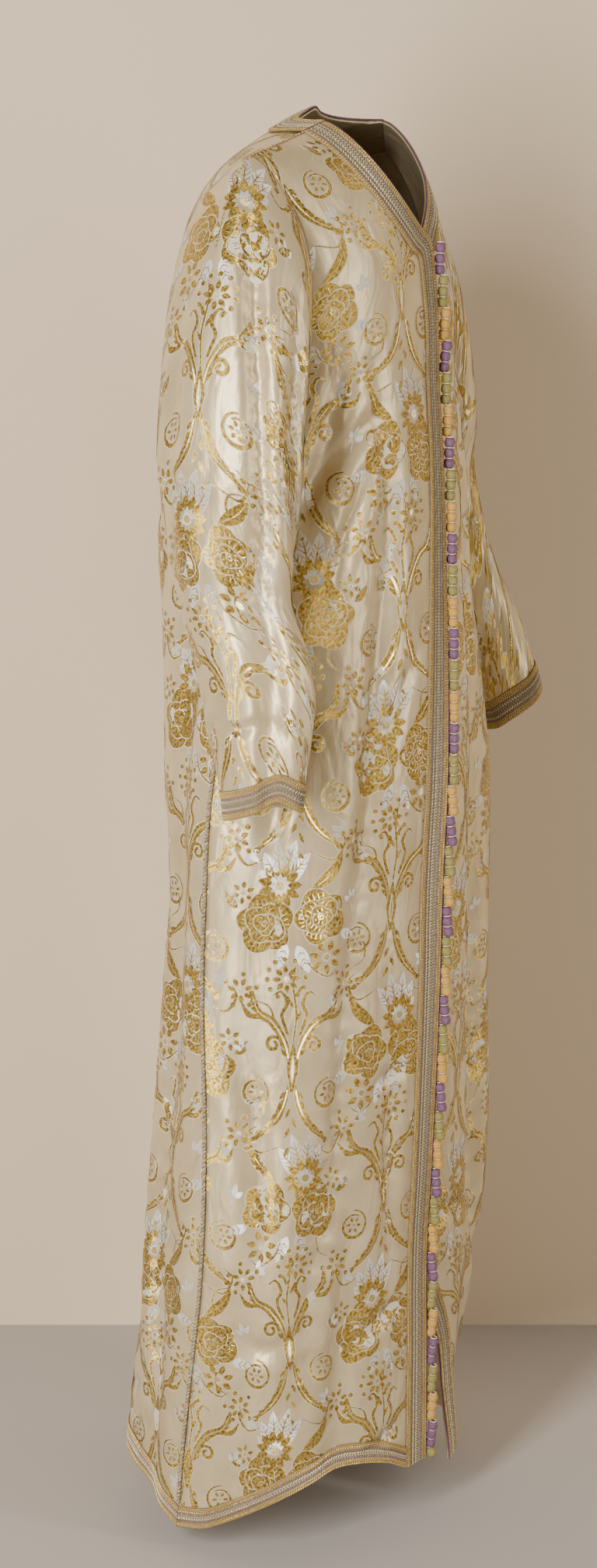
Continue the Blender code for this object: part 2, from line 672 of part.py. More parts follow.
def build():
    right, right_normals = front_panel(-1)
    left, left_normals = front_panel(1)
    back, back_normals = back_panel()
    first = len(hem_rows(ROWS_SKIRT)) - 1
    sleeves = {}
    for which, side, front, front_normals, column in (
        ("right", -1, right, right_normals, 0),
        ("left", 1, left, left_normals, -1),
    ):
        hole = np.concatenate([front[first:, -1], back[-2:first:-1, column]])
        hole_normals = np.concatenate([front_normals[first:, -1], back_normals[-2:first:-1, column]])
        points, normals = sleeve(which, side, hole, hole_normals)
        yoke = ROWS_YOKE + 1
        front_normals[first:, -1] = normals[0][:yoke]
        back_normals[first + 1 : -1, column] = normals[0][:ROWS_YOKE:-1]
        back_normals[first, column] = normals[0][0]
        back_normals[-1, column] = normals[0][ROWS_YOKE]
        sleeves[which] = points, normals

    for name, front, front_normals in (("right", right, right_normals), ("left", left, left_normals)):
        drawn = pull_back(front, last_row=True, last_column=True)
        cloth(f"front_{name}", drawn, front_normals, WALL, "brocade")
        braid(f"braid_{name}", drawn[:, :3], front_normals[:, :3])
        hem = pull_back(drawn[:3, 2:], first_column=True)
        braid(f"hem_braid_{name}", hem, front_normals[:3, 2:])
    drawn = pull_back(back, last_row=True, last_column=True, first_column=True)
    cloth("back", drawn, back_normals, WALL, "brocade")
    braid("hem_braid_back", drawn[:3], back_normals[:3])
    neck, neck_normals = neck_back_braid()
    neck = pull_back(neck, first_row=True, last_row=True)
    braid("braid_back", neck, neck_normals, NECK_BACK_LIFT)
    for which, (points, normals) in sleeves.items():
        drawn = pull_back(points, first_row=True)
        cloth(f"sleeve_{which}", drawn, normals, WALL, "brocade", around=True)
        braid(f"cuff_braid_{which}", drawn[-3:], normals[-3:], around=True)
    seam_cord("seam_cord_right", -1)
    seam_cord("seam_cord_left", 1)
    corner = first + ROWS_CORNER
    knots(right[corner::-1, 0], right_normals[corner::-1, 0])


for old in list(bpy.data.objects):
    bpy.data.objects.remove(old, do_unlink=True)
KAFTAN = bpy.data.collections.new("moroccan_kaftan")
bpy.context.scene.collection.children.link(KAFTAN)
MATERIALS = {}
for finish, (colour, roughness, metallic) in COLOURS.items():
    material = bpy.data.materials.new(finish)
    material.use_nodes = True
    shader = material.node_tree.nodes["Principled BSDF"]
    shader.inputs["Base Color"].default_value = (*colour, 1.0)
    shader.inputs["Roughness"].default_value = roughness
    shader.inputs["Metallic"].default_value = metallic
    MATERIALS[finish] = material
build()
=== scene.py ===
# %% [markdown]
# # A kaftan of brocade
# This lesson dresses a full-length kaftan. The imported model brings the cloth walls, the edge braid,
# the side cords and the row of buttons as plain solids. Each step makes one of them look real.

import math

import bmesh
import bpy
import numpy as np
from mathutils.bvhtree import BVHTree
from mathutils.kdtree import KDTree
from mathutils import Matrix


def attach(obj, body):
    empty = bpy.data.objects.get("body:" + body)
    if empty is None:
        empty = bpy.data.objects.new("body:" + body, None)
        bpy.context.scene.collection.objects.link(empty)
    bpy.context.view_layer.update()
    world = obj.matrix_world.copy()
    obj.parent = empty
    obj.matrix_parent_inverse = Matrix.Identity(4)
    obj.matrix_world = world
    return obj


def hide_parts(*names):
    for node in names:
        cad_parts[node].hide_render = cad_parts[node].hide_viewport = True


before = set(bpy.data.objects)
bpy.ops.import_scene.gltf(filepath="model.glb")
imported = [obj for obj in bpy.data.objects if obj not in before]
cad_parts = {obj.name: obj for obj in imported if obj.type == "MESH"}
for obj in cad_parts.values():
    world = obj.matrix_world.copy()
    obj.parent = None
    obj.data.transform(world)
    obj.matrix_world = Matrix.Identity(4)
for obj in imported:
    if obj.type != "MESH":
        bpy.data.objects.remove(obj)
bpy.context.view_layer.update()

# %% [markdown]
# ## Camera, light and floor
# The camera stands off the kaftan's right shoulder and looks a little down. Its lens is long, so the
# folds keep their proportions. A tall soft light on the left gives satin its long pale reflections,
# and two weaker ones fill the shadows.

# %% Camera, light and floor
FLOOR = -1.44


def soft_light(name, place, aim, size, watts, colour):
    light = bpy.data.lights.new(name, "AREA")
    light.shape = "RECTANGLE"
    light.size, light.size_y = size
    light.energy = watts
    light.color = colour
    lamp = bpy.data.objects.new(name, light)
    bpy.context.scene.collection.objects.link(lamp)
    lamp.location = place
    away = np.subtract(place, aim)
    flat = math.hypot(away[0], away[1])
    lamp.rotation_euler = (math.atan2(flat, away[2]), 0, math.atan2(away[0], -away[1]))
    return lamp


camera_data = bpy.data.cameras.new("view")
camera_data.lens = 66.5
camera_data.sensor_width = 36
camera_data.shift_x = -0.0154
camera = bpy.data.objects.new("view", camera_data)
camera.location = (-2.388, -1.612, 0.02)
camera.rotation_euler = (math.radians(76.8), 0, math.radians(-55))
bpy.context.scene.collection.objects.link(camera)
bpy.context.scene.camera = camera

soft_light("window", (-2.9, -0.3, 0.1), (0, 0, -0.5), (0.5, 2.8), 135, (1.0, 0.95, 0.88))
soft_light("front_fill", (0.4, -3.2, 0.1), (0, 0, -0.6), (0.4, 2.8), 42, (1.0, 0.93, 0.84))
soft_light("back_fill", (2.4, 1.8, 1.2), (0, 0, -0.5), (1.6, 2.2), 22, (1.0, 0.96, 0.90))

world = bpy.data.worlds.new("room")
bpy.context.scene.world = world
world.use_nodes = True
world.node_tree.nodes["Background"].inputs["Color"].default_value = (0.74, 0.64, 0.50, 1)
world.node_tree.nodes["Background"].inputs["Strength"].default_value = 0.32


def backdrop(name, size, place, turn, colour, one_sided=False):
    """A plane that is stage, not kaftan. A one-sided one is clear from behind."""
    bpy.ops.object.select_all(action="DESELECT")
    bpy.ops.mesh.primitive_plane_add(size=size, location=place, rotation=turn)
    plane = bpy.context.object
    plane.name = name
    paint = bpy.data.materials.new(name)
    paint.use_nodes = True
    tree = paint.node_tree
    shader = tree.nodes["Principled BSDF"]
    shader.inputs["Base Color"].default_value = (*colour, 1)
    shader.inputs["Roughness"].default_value = 0.9
    if one_sided:
        kinds = ("NewGeometry", "BsdfTransparent", "MixShader")
        facing, clear, mixed = (tree.nodes.new("ShaderNode" + kind) for kind in kinds)
        tree.links.new(facing.outputs["Backfacing"], mixed.inputs[0])
        tree.links.new(shader.outputs[0], mixed.inputs[1])
        tree.links.new(clear.outputs[0], mixed.inputs[2])
        tree.links.new(mixed.outputs[0], tree.nodes["Material Output"].inputs["Surface"])
    plane.data.materials.append(paint)


backdrop("pale_floor", 14, (0, 0, FLOOR - 0.002), (0, 0, 0), (0.50, 0.47, 0.46))
wall_turn = (math.radians(90), 0, math.radians(-55))
backdrop("warm_wall", 6, (0.36, 0.25, FLOOR + 2.9), wall_turn, (0.74, 0.62, 0.46), True)
print("camera at", tuple(round(value, 2) for value in camera.location))

# %% [markdown]
# ## Reading the cloth's grid
# Each cloth wall was made from rows and columns of points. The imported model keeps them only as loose
# triangles, so the rows are found again: a point and the one straight behind it are one wall
# thickness apart, which tells the outer skin from the inner. Every square is cut the same way, so
# each next row is found from the common neighbours of two points in the last one.

# %% The outer grid of a wall
WALL = 0.0016


def skin_of(node, thick):
    """Points, neighbours and outer points of a wall."""
    work = bmesh.new()
    work.from_mesh(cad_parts[node].data)
    bmesh.ops.remove_doubles(work, verts=work.verts, dist=2e-5)
    work.verts.index_update()
    points = np.array([tuple(v.co) for v in work.verts])
    near = {v.index: {e.other_vert(v).index for e in v.link_edges} for v in work.verts}
    tree = KDTree(len(points))
    for v, point in enumerate(points):
        tree.insert(point, v)
    tree.balance()
    partner = {}
    for v, point in enumerate(points):
        close = [hit for hit in tree.find_range(point, thick * 1.05) if hit[1] != v]
        partner[v] = min(close, key=lambda hit: abs(hit[2] - thick))[1]
    same = {v: {o for o in near[v] if partner[o] in near[partner[v]] and o != partner[v]} for v in near}
    layer, stack = {0}, [0]
    while stack:
        for o in same[stack.pop()] - layer:
            layer.add(o)
            stack.append(o)
    other = set(near) - layer

    def area(side):
        return sum(f.calc_area() for f in work.faces if all(v.index in side for v in f.verts))

    outer = layer if area(layer) > area(other) else other
    work.free()
    return points, same, outer, partner


def next_row(row, used, same, around):
    """The row after this one: the common neighbours of each two points."""
    found = []
    pairs = [(row[i - 1], row[i]) for i in range(0 if around else 1, len(row))]
    for a, b in pairs:
        common = (same[a] & same[b]) - used
        if len(common) != 1:
            return None
        found.append(common.pop())
    if not around:
        first = (same[row[0]] & same[found[0]]) - used
        if len(first) != 1:
            return None
        found.insert(0, first.pop())
    return found


def wall_grid(node, around=False, thick=WALL):
    """Outer points of a wall as rows and columns, and the directions out of it."""
    points, same, outer, partner = skin_of(node, thick)
    rim = {v for v in outer if len(same[v]) < 6}
    if around:
        start = max(rim, key=lambda v: points[v][2])
        best = None
        for second in sorted(same[start] & rim):
            row = [start, second]
            while True:
                onward = [o for o in same[row[-1]] & rim if o != row[-2]]
                if onward[0] == start:
                    break
                row.append(onward[0])
            after = next_row(row, set(row), same, True)
            length = sum(np.linalg.norm(points[a] - points[b]) for a, b in zip(row, after))
            if best is None or length < best[0]:
                best = (length, row)
        row = best[1]
    else:
        corners = [v for v in rim if len(same[v]) < 4]
        start = min((v for v in corners if len(same[v]) == 3), key=lambda v: points[v][2])
        ends = []
        for second in same[start] & rim:
            row = [start, second]
            while row[-1] not in corners:
                row.append(min((o for o in same[row[-1]] & rim if o not in row), key=lambda o: len(same[o])))
            ends.append((points[row[-1]][2], row))
        row = min(ends)[1]
    rows, used = [row], set(row)
    while len(used) < len(outer):
        row = next_row(row, used, same, around)
        if row is None:
            raise RuntimeError(f"{node}: the grid stops at row {len(rows)}")
        rows.append(row)
        used |= set(row)
    grid = np.array([[points[v] for v in row] for row in rows])
    behind = np.array([[points[partner[v]] for v in row] for row in rows])
    if around:
        turn = int(np.argmin(grid[0, :, 2]))
        grid, behind = (np.roll(layer, -turn, axis=1) for layer in (grid, behind))
    return grid, (grid - behind) / np.linalg.norm(grid - behind, axis=2, keepdims=True)


WALLS = {}
for node in ("front_right", "front_left", "back", "sleeve_right", "sleeve_left"):
    WALLS[node] = wall_grid(node, around=node.startswith("sleeve"))
    print(node, "rows and columns", WALLS[node][0].shape[:2])

# %% [markdown]
# ## Finer cloth
# The solid's facets are several centimetres long. A smooth curve through the same points gives a finer
# grid, and the seams still meet, because both sides of a seam read the same points.

# %% A finer grid
FINE_ROWS, FINE_COLUMNS = 8, 5
UNDERARM_ROW, NECK_ROW = 21, 24


def finer(grid, parts, axis, closed=False):
    """A grid with smooth new points between the old ones."""
    lines = np.moveaxis(grid, axis, 0)
    if closed:
        lines = np.concatenate([lines[-1:], lines, lines[:2]])
    else:
        lines = np.concatenate([2 * lines[:1] - lines[1:2], lines, 2 * lines[-1:] - lines[-2:-1]])
    found = []
    for k in range(len(lines) - 3):
        a, b, c, d = lines[k : k + 4]
        for t in np.linspace(0, 1, parts, endpoint=False):
            bend = (2 * a - 5 * b + 4 * c - d) * t**2 + (3 * b - a - 3 * c + d) * t**3
            found.append(b + 0.5 * ((c - a) * t + bend))
    found.append(lines[-2])
    return np.moveaxis(np.array(found), 0, axis)


def outward(points, guide):
    """Directions out of a fine grid, turned the way of a guide."""
    across = np.gradient(points, axis=1)
    if np.linalg.norm(points[0, 0] - points[0, -1]) < 1e-6:
        across[:, 0] = across[:, -1] = (points[:, 1] - points[:, -2]) / 2
    found = np.cross(np.gradient(points, axis=0), across)
    found /= np.maximum(np.linalg.norm(found, axis=2, keepdims=True), 1e-12)
    return found * np.sign((found * guide).sum(axis=2, keepdims=True))


def measured(points, axis, zero):
    """Distances along the cloth from one row or column."""
    steps = np.linalg.norm(np.diff(points, axis=axis), axis=2)
    along = np.insert(np.cumsum(steps, axis=axis), 0, 0, axis=axis)
    return along - np.take(along, [zero], axis=axis)


# %% [markdown]
# ## Folds of hanging cloth
# The cloth hangs from the shoulders in long soft folds, and short drags pull from the armhole and from
# the braid. Each is a line on the flat cloth with its own depth and width. It sinks along the line,
# rises a little on both sides, and dies out at its ends and at the seams.

# %% Folds: a line on the flat cloth, a depth and a width, all in millimetres
FOLDS = {
    "front_right": [
        (((115, 20), (93, -140), (98, -260), (109, -380), (116, -500)), 9.5, 17),
        (((112, -420), (129, -600), (148, -810), (192, -1100)), 11.4, 30),
        (((122, -70), (145, -140), (158, -200)), 9.5, 12),
        (((100, -20), (140, -50), (190, -100)), 8.55, 13),
        (((150, 20), (170, -60), (200, -140)), 9.5, 16),
        (((253, -620), (231, -760), (223, -880)), 8.55, 20),
        (((60, -600), (66, -780), (58, -920)), 5.7, 18),
        (((25, -967), (60, -950), (105, -975)), 7.6, 11),
        (((28, -1103), (60, -1090), (115, -1120)), 6.65, 11),
        (((30, -700), (60, -690), (95, -710)), 4.75, 10),
        (((270, -950), (225, -970), (180, -955)), 6.65, 14),
        (((180, -320), (215, -400), (205, -500)), 7.6, 18),
        (((45, -260), (70, -300), (90, -360)), 4.75, 12),
    ],
    "front_left": [
        (((105, 30), (88, -150), (94, -300), (104, -470)), 9.5, 18),
        (((104, -400), (125, -620), (150, -860), (180, -1080)), 11.4, 28),
        (((120, -60), (150, -120), (165, -210)), 8.55, 13),
        (((150, 20), (185, -50), (215, -120)), 8.55, 15),
        (((235, -550), (222, -740), (232, -920)), 9.5, 22),
        (((30, -880), (70, -870), (110, -890)), 5.7, 12),
        (((200, -300), (220, -400), (205, -520)), 6.65, 18),
    ],
    "back": [
        (((-120, 60), (-105, -200), (-125, -500), (-165, -850), (-190, -1120)), 13.3, 30),
        (((20, -200), (5, -500), (20, -800), (10, -1140)), 12.35, 34),
        (((130, 50), (115, -240), (130, -560), (155, -900), (185, -1140)), 13.3, 28),
        (((-50, -500), (-75, -800), (-90, -1100)), 8.55, 22),
        (((75, -600), (85, -850), (100, -1120)), 8.55, 20),
        (((-90, 120), (-20, 100), (70, 130)), 5.7, 18),
        (((-215, -600), (-225, -850), (-245, -1050)), 7.6, 18),
        (((190, -40), (150, -100), (120, -180)), 8.55, 16),
        (((-190, -20), (-160, -90), (-120, -150)), 8.55, 16),
    ],
    "sleeve_right": [
        (((-20, -40), (-45, -150), (-64, -280), (-53, -420), (-40, -530)), 12.35, 13),
        (((45, -90), (35, -220), (50, -360), (40, -500)), 5.7, 20),
        (((75, -546), (39, -542), (-4, -553), (-50, -530)), 7.6, 7),
        (((-95, -90), (-100, -240), (-110, -380)), 9.5, 16),
        (((60, -300), (30, -325), (-10, -330)), 5.7, 13),
        (((75, -400), (45, -415), (10, -405)), 4.75, 12),
        (((110, -100), (120, -250), (110, -420)), 7.6, 18),
    ],
    "sleeve_left": [
        (((30, -50), (50, -180), (60, -300), (48, -500)), 11.4, 14),
        (((-50, -80), (-40, -240), (-55, -420)), 7.6, 19),
        (((-70, -320), (-30, -340), (15, -332)), 6.65, 13),
        (((100, -100), (105, -260), (112, -400)), 9.5, 16),
        (((60, -548), (10, -552), (-40, -540)), 6.65, 8),
    ],
}


SEAM_ROWS, SEAM_COLUMNS, EDGE_COLUMNS = 20, 6, 5  # fine steps over which a fold dies out
BRAID_COLUMNS = 2 * FINE_COLUMNS


def hanging(node, flat):
    """How far each place sinks or rises for the folds, in metres."""
    sum_of = np.zeros(flat.shape[:2])
    for line, depth, width in FOLDS[node]:
        line = finer(np.array(line)[:, None] / 1000, 8, 0)[:, 0]
        away = np.linalg.norm(flat[:, :, None] - line[None, None], axis=3)
        share = np.argmin(away, axis=2) / (len(line) - 1)
        near = away.min(axis=2) / (width / 1000)
        alive = np.sin(np.pi * np.clip(share, 0.02, 0.98)) ** 0.6
        sum_of -= depth / 1000 * alive * (1 - 0.9 * near**2) * np.exp(-(near**2))
    rows, places = np.arange(len(flat)), np.arange(flat.shape[1])
    first = BRAID_COLUMNS if node.startswith("front") else 0
    fade = np.clip(np.minimum(rows, rows[::-1]) / SEAM_ROWS, 0, 1)[:, None]
    fade = fade * np.clip(np.minimum((places - first) / EDGE_COLUMNS, places[::-1] / SEAM_COLUMNS), 0, 1)
    return sum_of * fade * fade * (3 - 2 * fade)


CLOTH = {}
for node, (grid, ways) in WALLS.items():
    closed = node.startswith("sleeve")
    points = finer(finer(grid, FINE_COLUMNS, 1, closed), FINE_ROWS, 0)
    guide = finer(finer(ways, FINE_COLUMNS, 1, closed), FINE_ROWS, 0)
    guide /= np.linalg.norm(guide, axis=2, keepdims=True)
    rows, columns = points.shape[:2]
    zero_row = 0 if closed else UNDERARM_ROW * FINE_ROWS
    zero_column = 0 if node.startswith("front") else (columns - 1) // 2
    u, v = measured(points, 1, zero_column), measured(points, 0, zero_row)
    if closed:
        v = -v
    if node.startswith("front"):
        corner = NECK_ROW * FINE_ROWS
        u[corner:] += np.abs(points[corner:, :1, 0] - points[corner, 0, 0])
    flat = np.stack([u, v], axis=2)
    points = points + guide * hanging(node, flat)[:, :, None]
    CLOTH[node] = {"points": points, "guide": guide, "flat": flat}
    print(node, "fine grid", (rows, columns), "flat", np.ptp(u).round(2), "by", np.ptp(v).round(2), "m")

# %% [markdown]
# ## Finishes
# Satin shines along its threads, so it is partly metallic, with a fine weave and a soft crumple in its bump. Metal
# thread is laid in short stitches, and its colour is painted light: painted shade in the gaps between the stitches,
# painted highlight on their tops and painted glints on some small dashes. Its bump follows the same stitches.

# %% Node helpers


def new_material(name, roughness, metallic=0.0, sheen=0.0, specular=0.5):
    material = bpy.data.materials.new(name)
    material.use_nodes = True
    shader = material.node_tree.nodes["Principled BSDF"]
    shader.inputs["Roughness"].default_value = roughness
    shader.inputs["Metallic"].default_value = metallic
    shader.inputs["Sheen Weight"].default_value = sheen
    shader.inputs["Specular IOR Level"].default_value = specular
    return material, material.node_tree, shader


def add(tree, kind, values=None, **settings):
    """A node whose inputs take values, or links where the value is another node's socket."""
    node = tree.nodes.new(kind)
    for key, value in settings.items():
        setattr(node, key, value)
    for key, value in (values or {}).items():
        if isinstance(value, bpy.types.NodeSocket):
            tree.links.new(value, node.inputs[key])
        else:
            node.inputs[key].default_value = value
    return node


def ramp(tree, factor, stops):
    node = add(tree, "ShaderNodeValToRGB", {"Fac": factor})
    elements = node.color_ramp.elements
    while len(elements) < len(stops):
        elements.new(0.5)
    for element, (place, colour) in zip(elements, stops):
        element.position = place
        element.color = (*colour, 1)
    return node.outputs["Color"]


def bump(tree, shader, height, strength, distance):
    node = add(tree, "ShaderNodeBump", {"Height": height, "Strength": strength, "Distance": distance})
    tree.links.new(node.outputs["Normal"], shader.inputs["Normal"])
    return node


def thread_group():
    """Short laid stitches: a mask that runs from the gaps to the tops, on the cloth's own UV."""
    group = bpy.data.node_groups.new("laid_threads", "ShaderNodeTree")
    face = group.interface
    face.new_socket("Vector", in_out="INPUT", socket_type="NodeSocketVector")
    for name, value in (("Angle", 0.6), ("Pitch", 0.0016), ("Glint Contrast", 3.0)):
        face.new_socket(name, in_out="INPUT", socket_type="NodeSocketFloat").default_value = value
    for name in ("Threads", "Glint"):
        face.new_socket(name, in_out="OUTPUT", socket_type="NodeSocketFloat")
    given = group.nodes.new("NodeGroupInput").outputs
    turned = {"Vector": given["Vector"], "Angle": given["Angle"]}
    turn = add(group, "ShaderNodeVectorRotate", turned, rotation_type="Z_AXIS")
    scale = add(group, "ShaderNodeMath", {0: 1.0, 1: given["Pitch"]}, operation="DIVIDE")
    sized = {0: turn.outputs["Vector"], "Scale": scale.outputs[0]}
    grown = add(group, "ShaderNodeVectorMath", sized, operation="SCALE").outputs[0]
    waves = {"Vector": grown, "Scale": 0.31, "Distortion": 2.0, "Detail": 1.0, "Detail Scale": 0.7}
    wave = add(group, "ShaderNodeTexWave", waves)
    noise = add(group, "ShaderNodeTexNoise", {"Vector": grown, "Scale": 0.42, "Detail": 1.5, "Roughness": 0.6})
    lift = add(group, "ShaderNodeMath", {0: noise.outputs["Fac"], 1: 0.5}, operation="SUBTRACT")
    glint_contrast = {0: lift.outputs[0], 1: given["Glint Contrast"], 2: 0.5}
    strong = add(group, "ShaderNodeMath", glint_contrast, operation="MULTIPLY_ADD", use_clamp=True)
    add(group, "NodeGroupOutput", {"Threads": wave.outputs["Fac"], "Glint": strong.outputs[0]})
    return group


LAID = thread_group()


def flat_place(tree):
    return add(tree, "ShaderNodeUVMap", uv_map="flat").outputs["UV"]


def laid(tree, angle, pitch, glint_contrast):
    values = {"Vector": flat_place(tree), "Angle": angle, "Pitch": pitch, "Glint Contrast": glint_contrast}
    node = add(tree, "ShaderNodeGroup", values, node_tree=LAID)
    return node.outputs["Threads"], node.outputs["Glint"]


# %% Satin, metal threads, silk and cord
def satin():
    material, tree, shader = new_material("champagne_satin", 0.36, metallic=0.45, sheen=0.05, specular=0.7)
    weave, glint = laid(tree, 0.0, 0.0011, 2.0)
    place = flat_place(tree)
    cloudy = add(tree, "ShaderNodeTexNoise", {"Vector": place, "Scale": 14.0, "Detail": 3.0, "Roughness": 0.55})
    colour = ramp(tree, cloudy.outputs["Fac"], ((0.30, (0.60, 0.48, 0.28)), (0.72, (0.76, 0.64, 0.41))))
    tree.links.new(colour, shader.inputs["Base Color"])
    rough = ramp(tree, glint, ((0.0, (0.34, 0.34, 0.34)), (1.0, (0.44, 0.44, 0.44))))
    tree.links.new(rough, shader.inputs["Roughness"])
    slanted = {"Vector": place, "Scale": (30.0, 13.0, 1.0), "Rotation": (0.0, 0.0, 0.35)}
    creased = add(tree, "ShaderNodeMapping", slanted).outputs["Vector"]
    crumpled = {"Vector": creased, "Scale": 1.0, "Detail": 2.5, "Roughness": 0.5, "Distortion": 0.8}
    crumple = add(tree, "ShaderNodeTexNoise", crumpled)
    soft = bump(tree, shader, crumple.outputs["Fac"], 0.45, 0.009)
    fine = bump(tree, shader, weave, 0.10, 0.0002)
    tree.links.new(soft.outputs["Normal"], fine.inputs["Normal"])
    return material


def threads(name, stops, angle, pitch, roughness, metallic, glint_contrast):
    """Laid thread whose colour is painted light: painted shade in its gaps, painted highlight on its tops and
    painted glints.
    """
    material, tree, shader = new_material(name, roughness, metallic=metallic, specular=0.6)
    tops, glint = laid(tree, angle, pitch, glint_contrast)
    # painted glints: noise brightens some dashes, and the ramp below paints the gaps dark and the tops bright
    low = add(tree, "ShaderNodeMath", {0: glint, 1: 0.35}, operation="MULTIPLY").outputs[0]
    mixed = add(tree, "ShaderNodeMath", {0: tops, 1: glint, 2: low}, operation="MULTIPLY_ADD", use_clamp=True)
    tree.links.new(ramp(tree, mixed.outputs[0], stops), shader.inputs["Base Color"])
    bump(tree, shader, tops, 0.55, 0.0004)
    return material


# thread colours with their places, from painted shade in the gaps to painted highlight on the tops, then angle,
# pitch, roughness, metallic and the contrast of the painted glints
FIGURE_THREADS = {
    "gold_thread": (((0.05, (0.20, 0.12, 0.02)), (0.40, (0.52, 0.34, 0.06)), (0.95, (1.0, 0.74, 0.22))),
                    0.7, 0.0012, 0.30, 0.85, 2.4),
    # a pale gold thread for strokes of painted highlight that stand in for glints on the metal
    "bright_gold_thread": (((0.1, (0.80, 0.60, 0.22)), (0.6, (1.0, 0.88, 0.50))), -0.5, 0.0009, 0.24, 0.90, 2.0),
    "cream_outline": (((0.0, (0.66, 0.58, 0.42)), (0.7, (0.94, 0.90, 0.78))), 0.3, 0.0009, 0.36, 0.20, 1.6),
    "silver_white_thread": (((0.0, (0.58, 0.55, 0.50)), (0.7, (0.95, 0.94, 0.90))), -0.8, 0.0010, 0.30, 0.45, 1.6),
}
# the same columns; here too the colours run from painted shade in the gaps to painted highlight on the tops
TRIM_THREADS = {
    "braid_gold": (((0.1, (0.42, 0.28, 0.07)), (0.7, (0.76, 0.56, 0.20))), 0.8, 0.0009, 0.45, 0.35, 1.4),
    "braid_ground": (((0.1, (0.14, 0.10, 0.07)), (0.7, (0.34, 0.25, 0.13))), 0.8, 0.0009, 0.7, 0.1, 1.4),
    "braid_silver": (((0.1, (0.48, 0.41, 0.25)), (0.7, (0.76, 0.68, 0.46))), 0.8, 0.0009, 0.42, 0.30, 1.4),
    "braid_purple": (((0.1, (0.15, 0.09, 0.11)), (0.7, (0.34, 0.24, 0.26))), 0.8, 0.0009, 0.5, 0.1, 1.4),
    "braid_green": (((0.1, (0.20, 0.17, 0.11)), (0.7, (0.38, 0.34, 0.24))), 0.8, 0.0009, 0.5, 0.15, 1.4),
    "purple_silk": (((0.1, (0.12, 0.05, 0.11)), (0.8, (0.27, 0.13, 0.25))), 0.6, 0.0009, 0.5, 0.0, 1.4),
    "green_silk": (((0.1, (0.20, 0.17, 0.04)), (0.8, (0.42, 0.36, 0.11))), 0.6, 0.0009, 0.5, 0.0, 1.4),
    "yellow_silk": (((0.1, (0.48, 0.24, 0.03)), (0.8, (0.80, 0.48, 0.11))), 0.6, 0.0009, 0.5, 0.0, 1.4),
    "cord_gold": (((0.1, (0.32, 0.22, 0.08)), (0.8, (0.70, 0.55, 0.26))), 0.6, 0.0010, 0.45, 0.3, 4.0),
    "cord_grey": (((0.1, (0.18, 0.16, 0.15)), (0.8, (0.50, 0.47, 0.44))), 0.6, 0.0010, 0.5, 0.1, 4.0),
}
MATERIALS = {"satin": satin()}
for name, values in FIGURE_THREADS.items():
    MATERIALS[name.split("_")[0]] = threads(name, *values)
for name, values in TRIM_THREADS.items():
    MATERIALS[name] = threads(name, *values)
print("finishes", len(MATERIALS))

# %% [markdown]
# ## Cloth shells
# Each wall becomes a closed shell of two skins and a rim. Its UV map holds the cloth's flat measures in metres, so
# that every pattern keeps its real size.

# %% Cloth shells
def quads(rows, columns, first=0):
    """Corner numbers of the squares of a grid."""
    j, i = np.meshgrid(np.arange(rows - 1), np.arange(columns - 1), indexing="ij")
    a = (first + j * columns + i).ravel()
    return np.stack([a, a + 1, a + columns + 1, a + columns], axis=1)


def finish_mesh(name, verts, faces, flat, materials, body="root", index=None, smooth=True):
    """A mesh object with its flat UV map and its materials."""
    mesh = bpy.data.meshes.new(name)
    mesh.from_pydata([tuple(v) for v in verts], [], [list(f) for f in faces])
    corners = np.zeros(len(mesh.loops), dtype=np.int32)
    mesh.loops.foreach_get("vertex_index", corners)
    layer = mesh.uv_layers.new(name="flat")
    layer.data.foreach_set("uv", np.asarray(flat, dtype=np.float32)[corners].ravel())
    for material in materials:
        mesh.materials.append(MATERIALS[material])
    if index is not None:
        mesh.polygons.foreach_set("material_index", np.asarray(index, dtype=np.int32))
    if smooth:
        mesh.shade_smooth()
    mesh.update()
    piece = bpy.data.objects.new(name, mesh)
    bpy.context.scene.collection.objects.link(piece)
    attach(piece, body)
    return piece


def shell(name, points, ways, flat, thickness, material):
    """A wall of cloth between a grid and the same grid moved in."""
    rows, columns = points.shape[:2]
    closed = np.linalg.norm(points[0, 0] - points[0, -1]) < 1e-6
    outer, inner = points.reshape(-1, 3), (points - ways * thickness).reshape(-1, 3)
    count = rows * columns
    ids = np.arange(count).reshape(rows, columns)
    faces = [quads(rows, columns)]
    if np.dot(np.cross(outer[1] - outer[0], outer[columns] - outer[0]), ways[0, 0]) < 0:
        faces[0] = faces[0][:, ::-1]
        flip = True
    else:
        flip = False
    faces.append(faces[0][:, ::-1] + count)
    rims = [ids[0], ids[-1][::-1]] + ([] if closed else [ids[::-1, 0], ids[:, -1]])
    for rim in rims:
        a, b = rim[:-1], rim[1:]
        rim_faces = np.stack([b, a, a + count, b + count], axis=1)
        faces.append(rim_faces[:, ::-1] if flip else rim_faces)
    piece = finish_mesh(
        name, np.concatenate([outer, inner]), np.concatenate(faces), np.concatenate([flat.reshape(-1, 2)] * 2),
        [material],
    )
    if closed:
        work = bmesh.new()
        work.from_mesh(piece.data)
        bmesh.ops.remove_doubles(work, verts=work.verts, dist=1e-7)
        work.to_mesh(piece.data)
        work.free()
    return piece


SHELLS = {}
for node, cloth in CLOTH.items():
    cloth["ways"] = outward(cloth["points"], cloth["guide"])
    piece = shell("cloth_" + node, cloth["points"], cloth["guide"], cloth["flat"], WALL, "satin")
    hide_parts(node)
    SHELLS[node] = piece
    print(piece.name, len(piece.data.polygons), "faces")

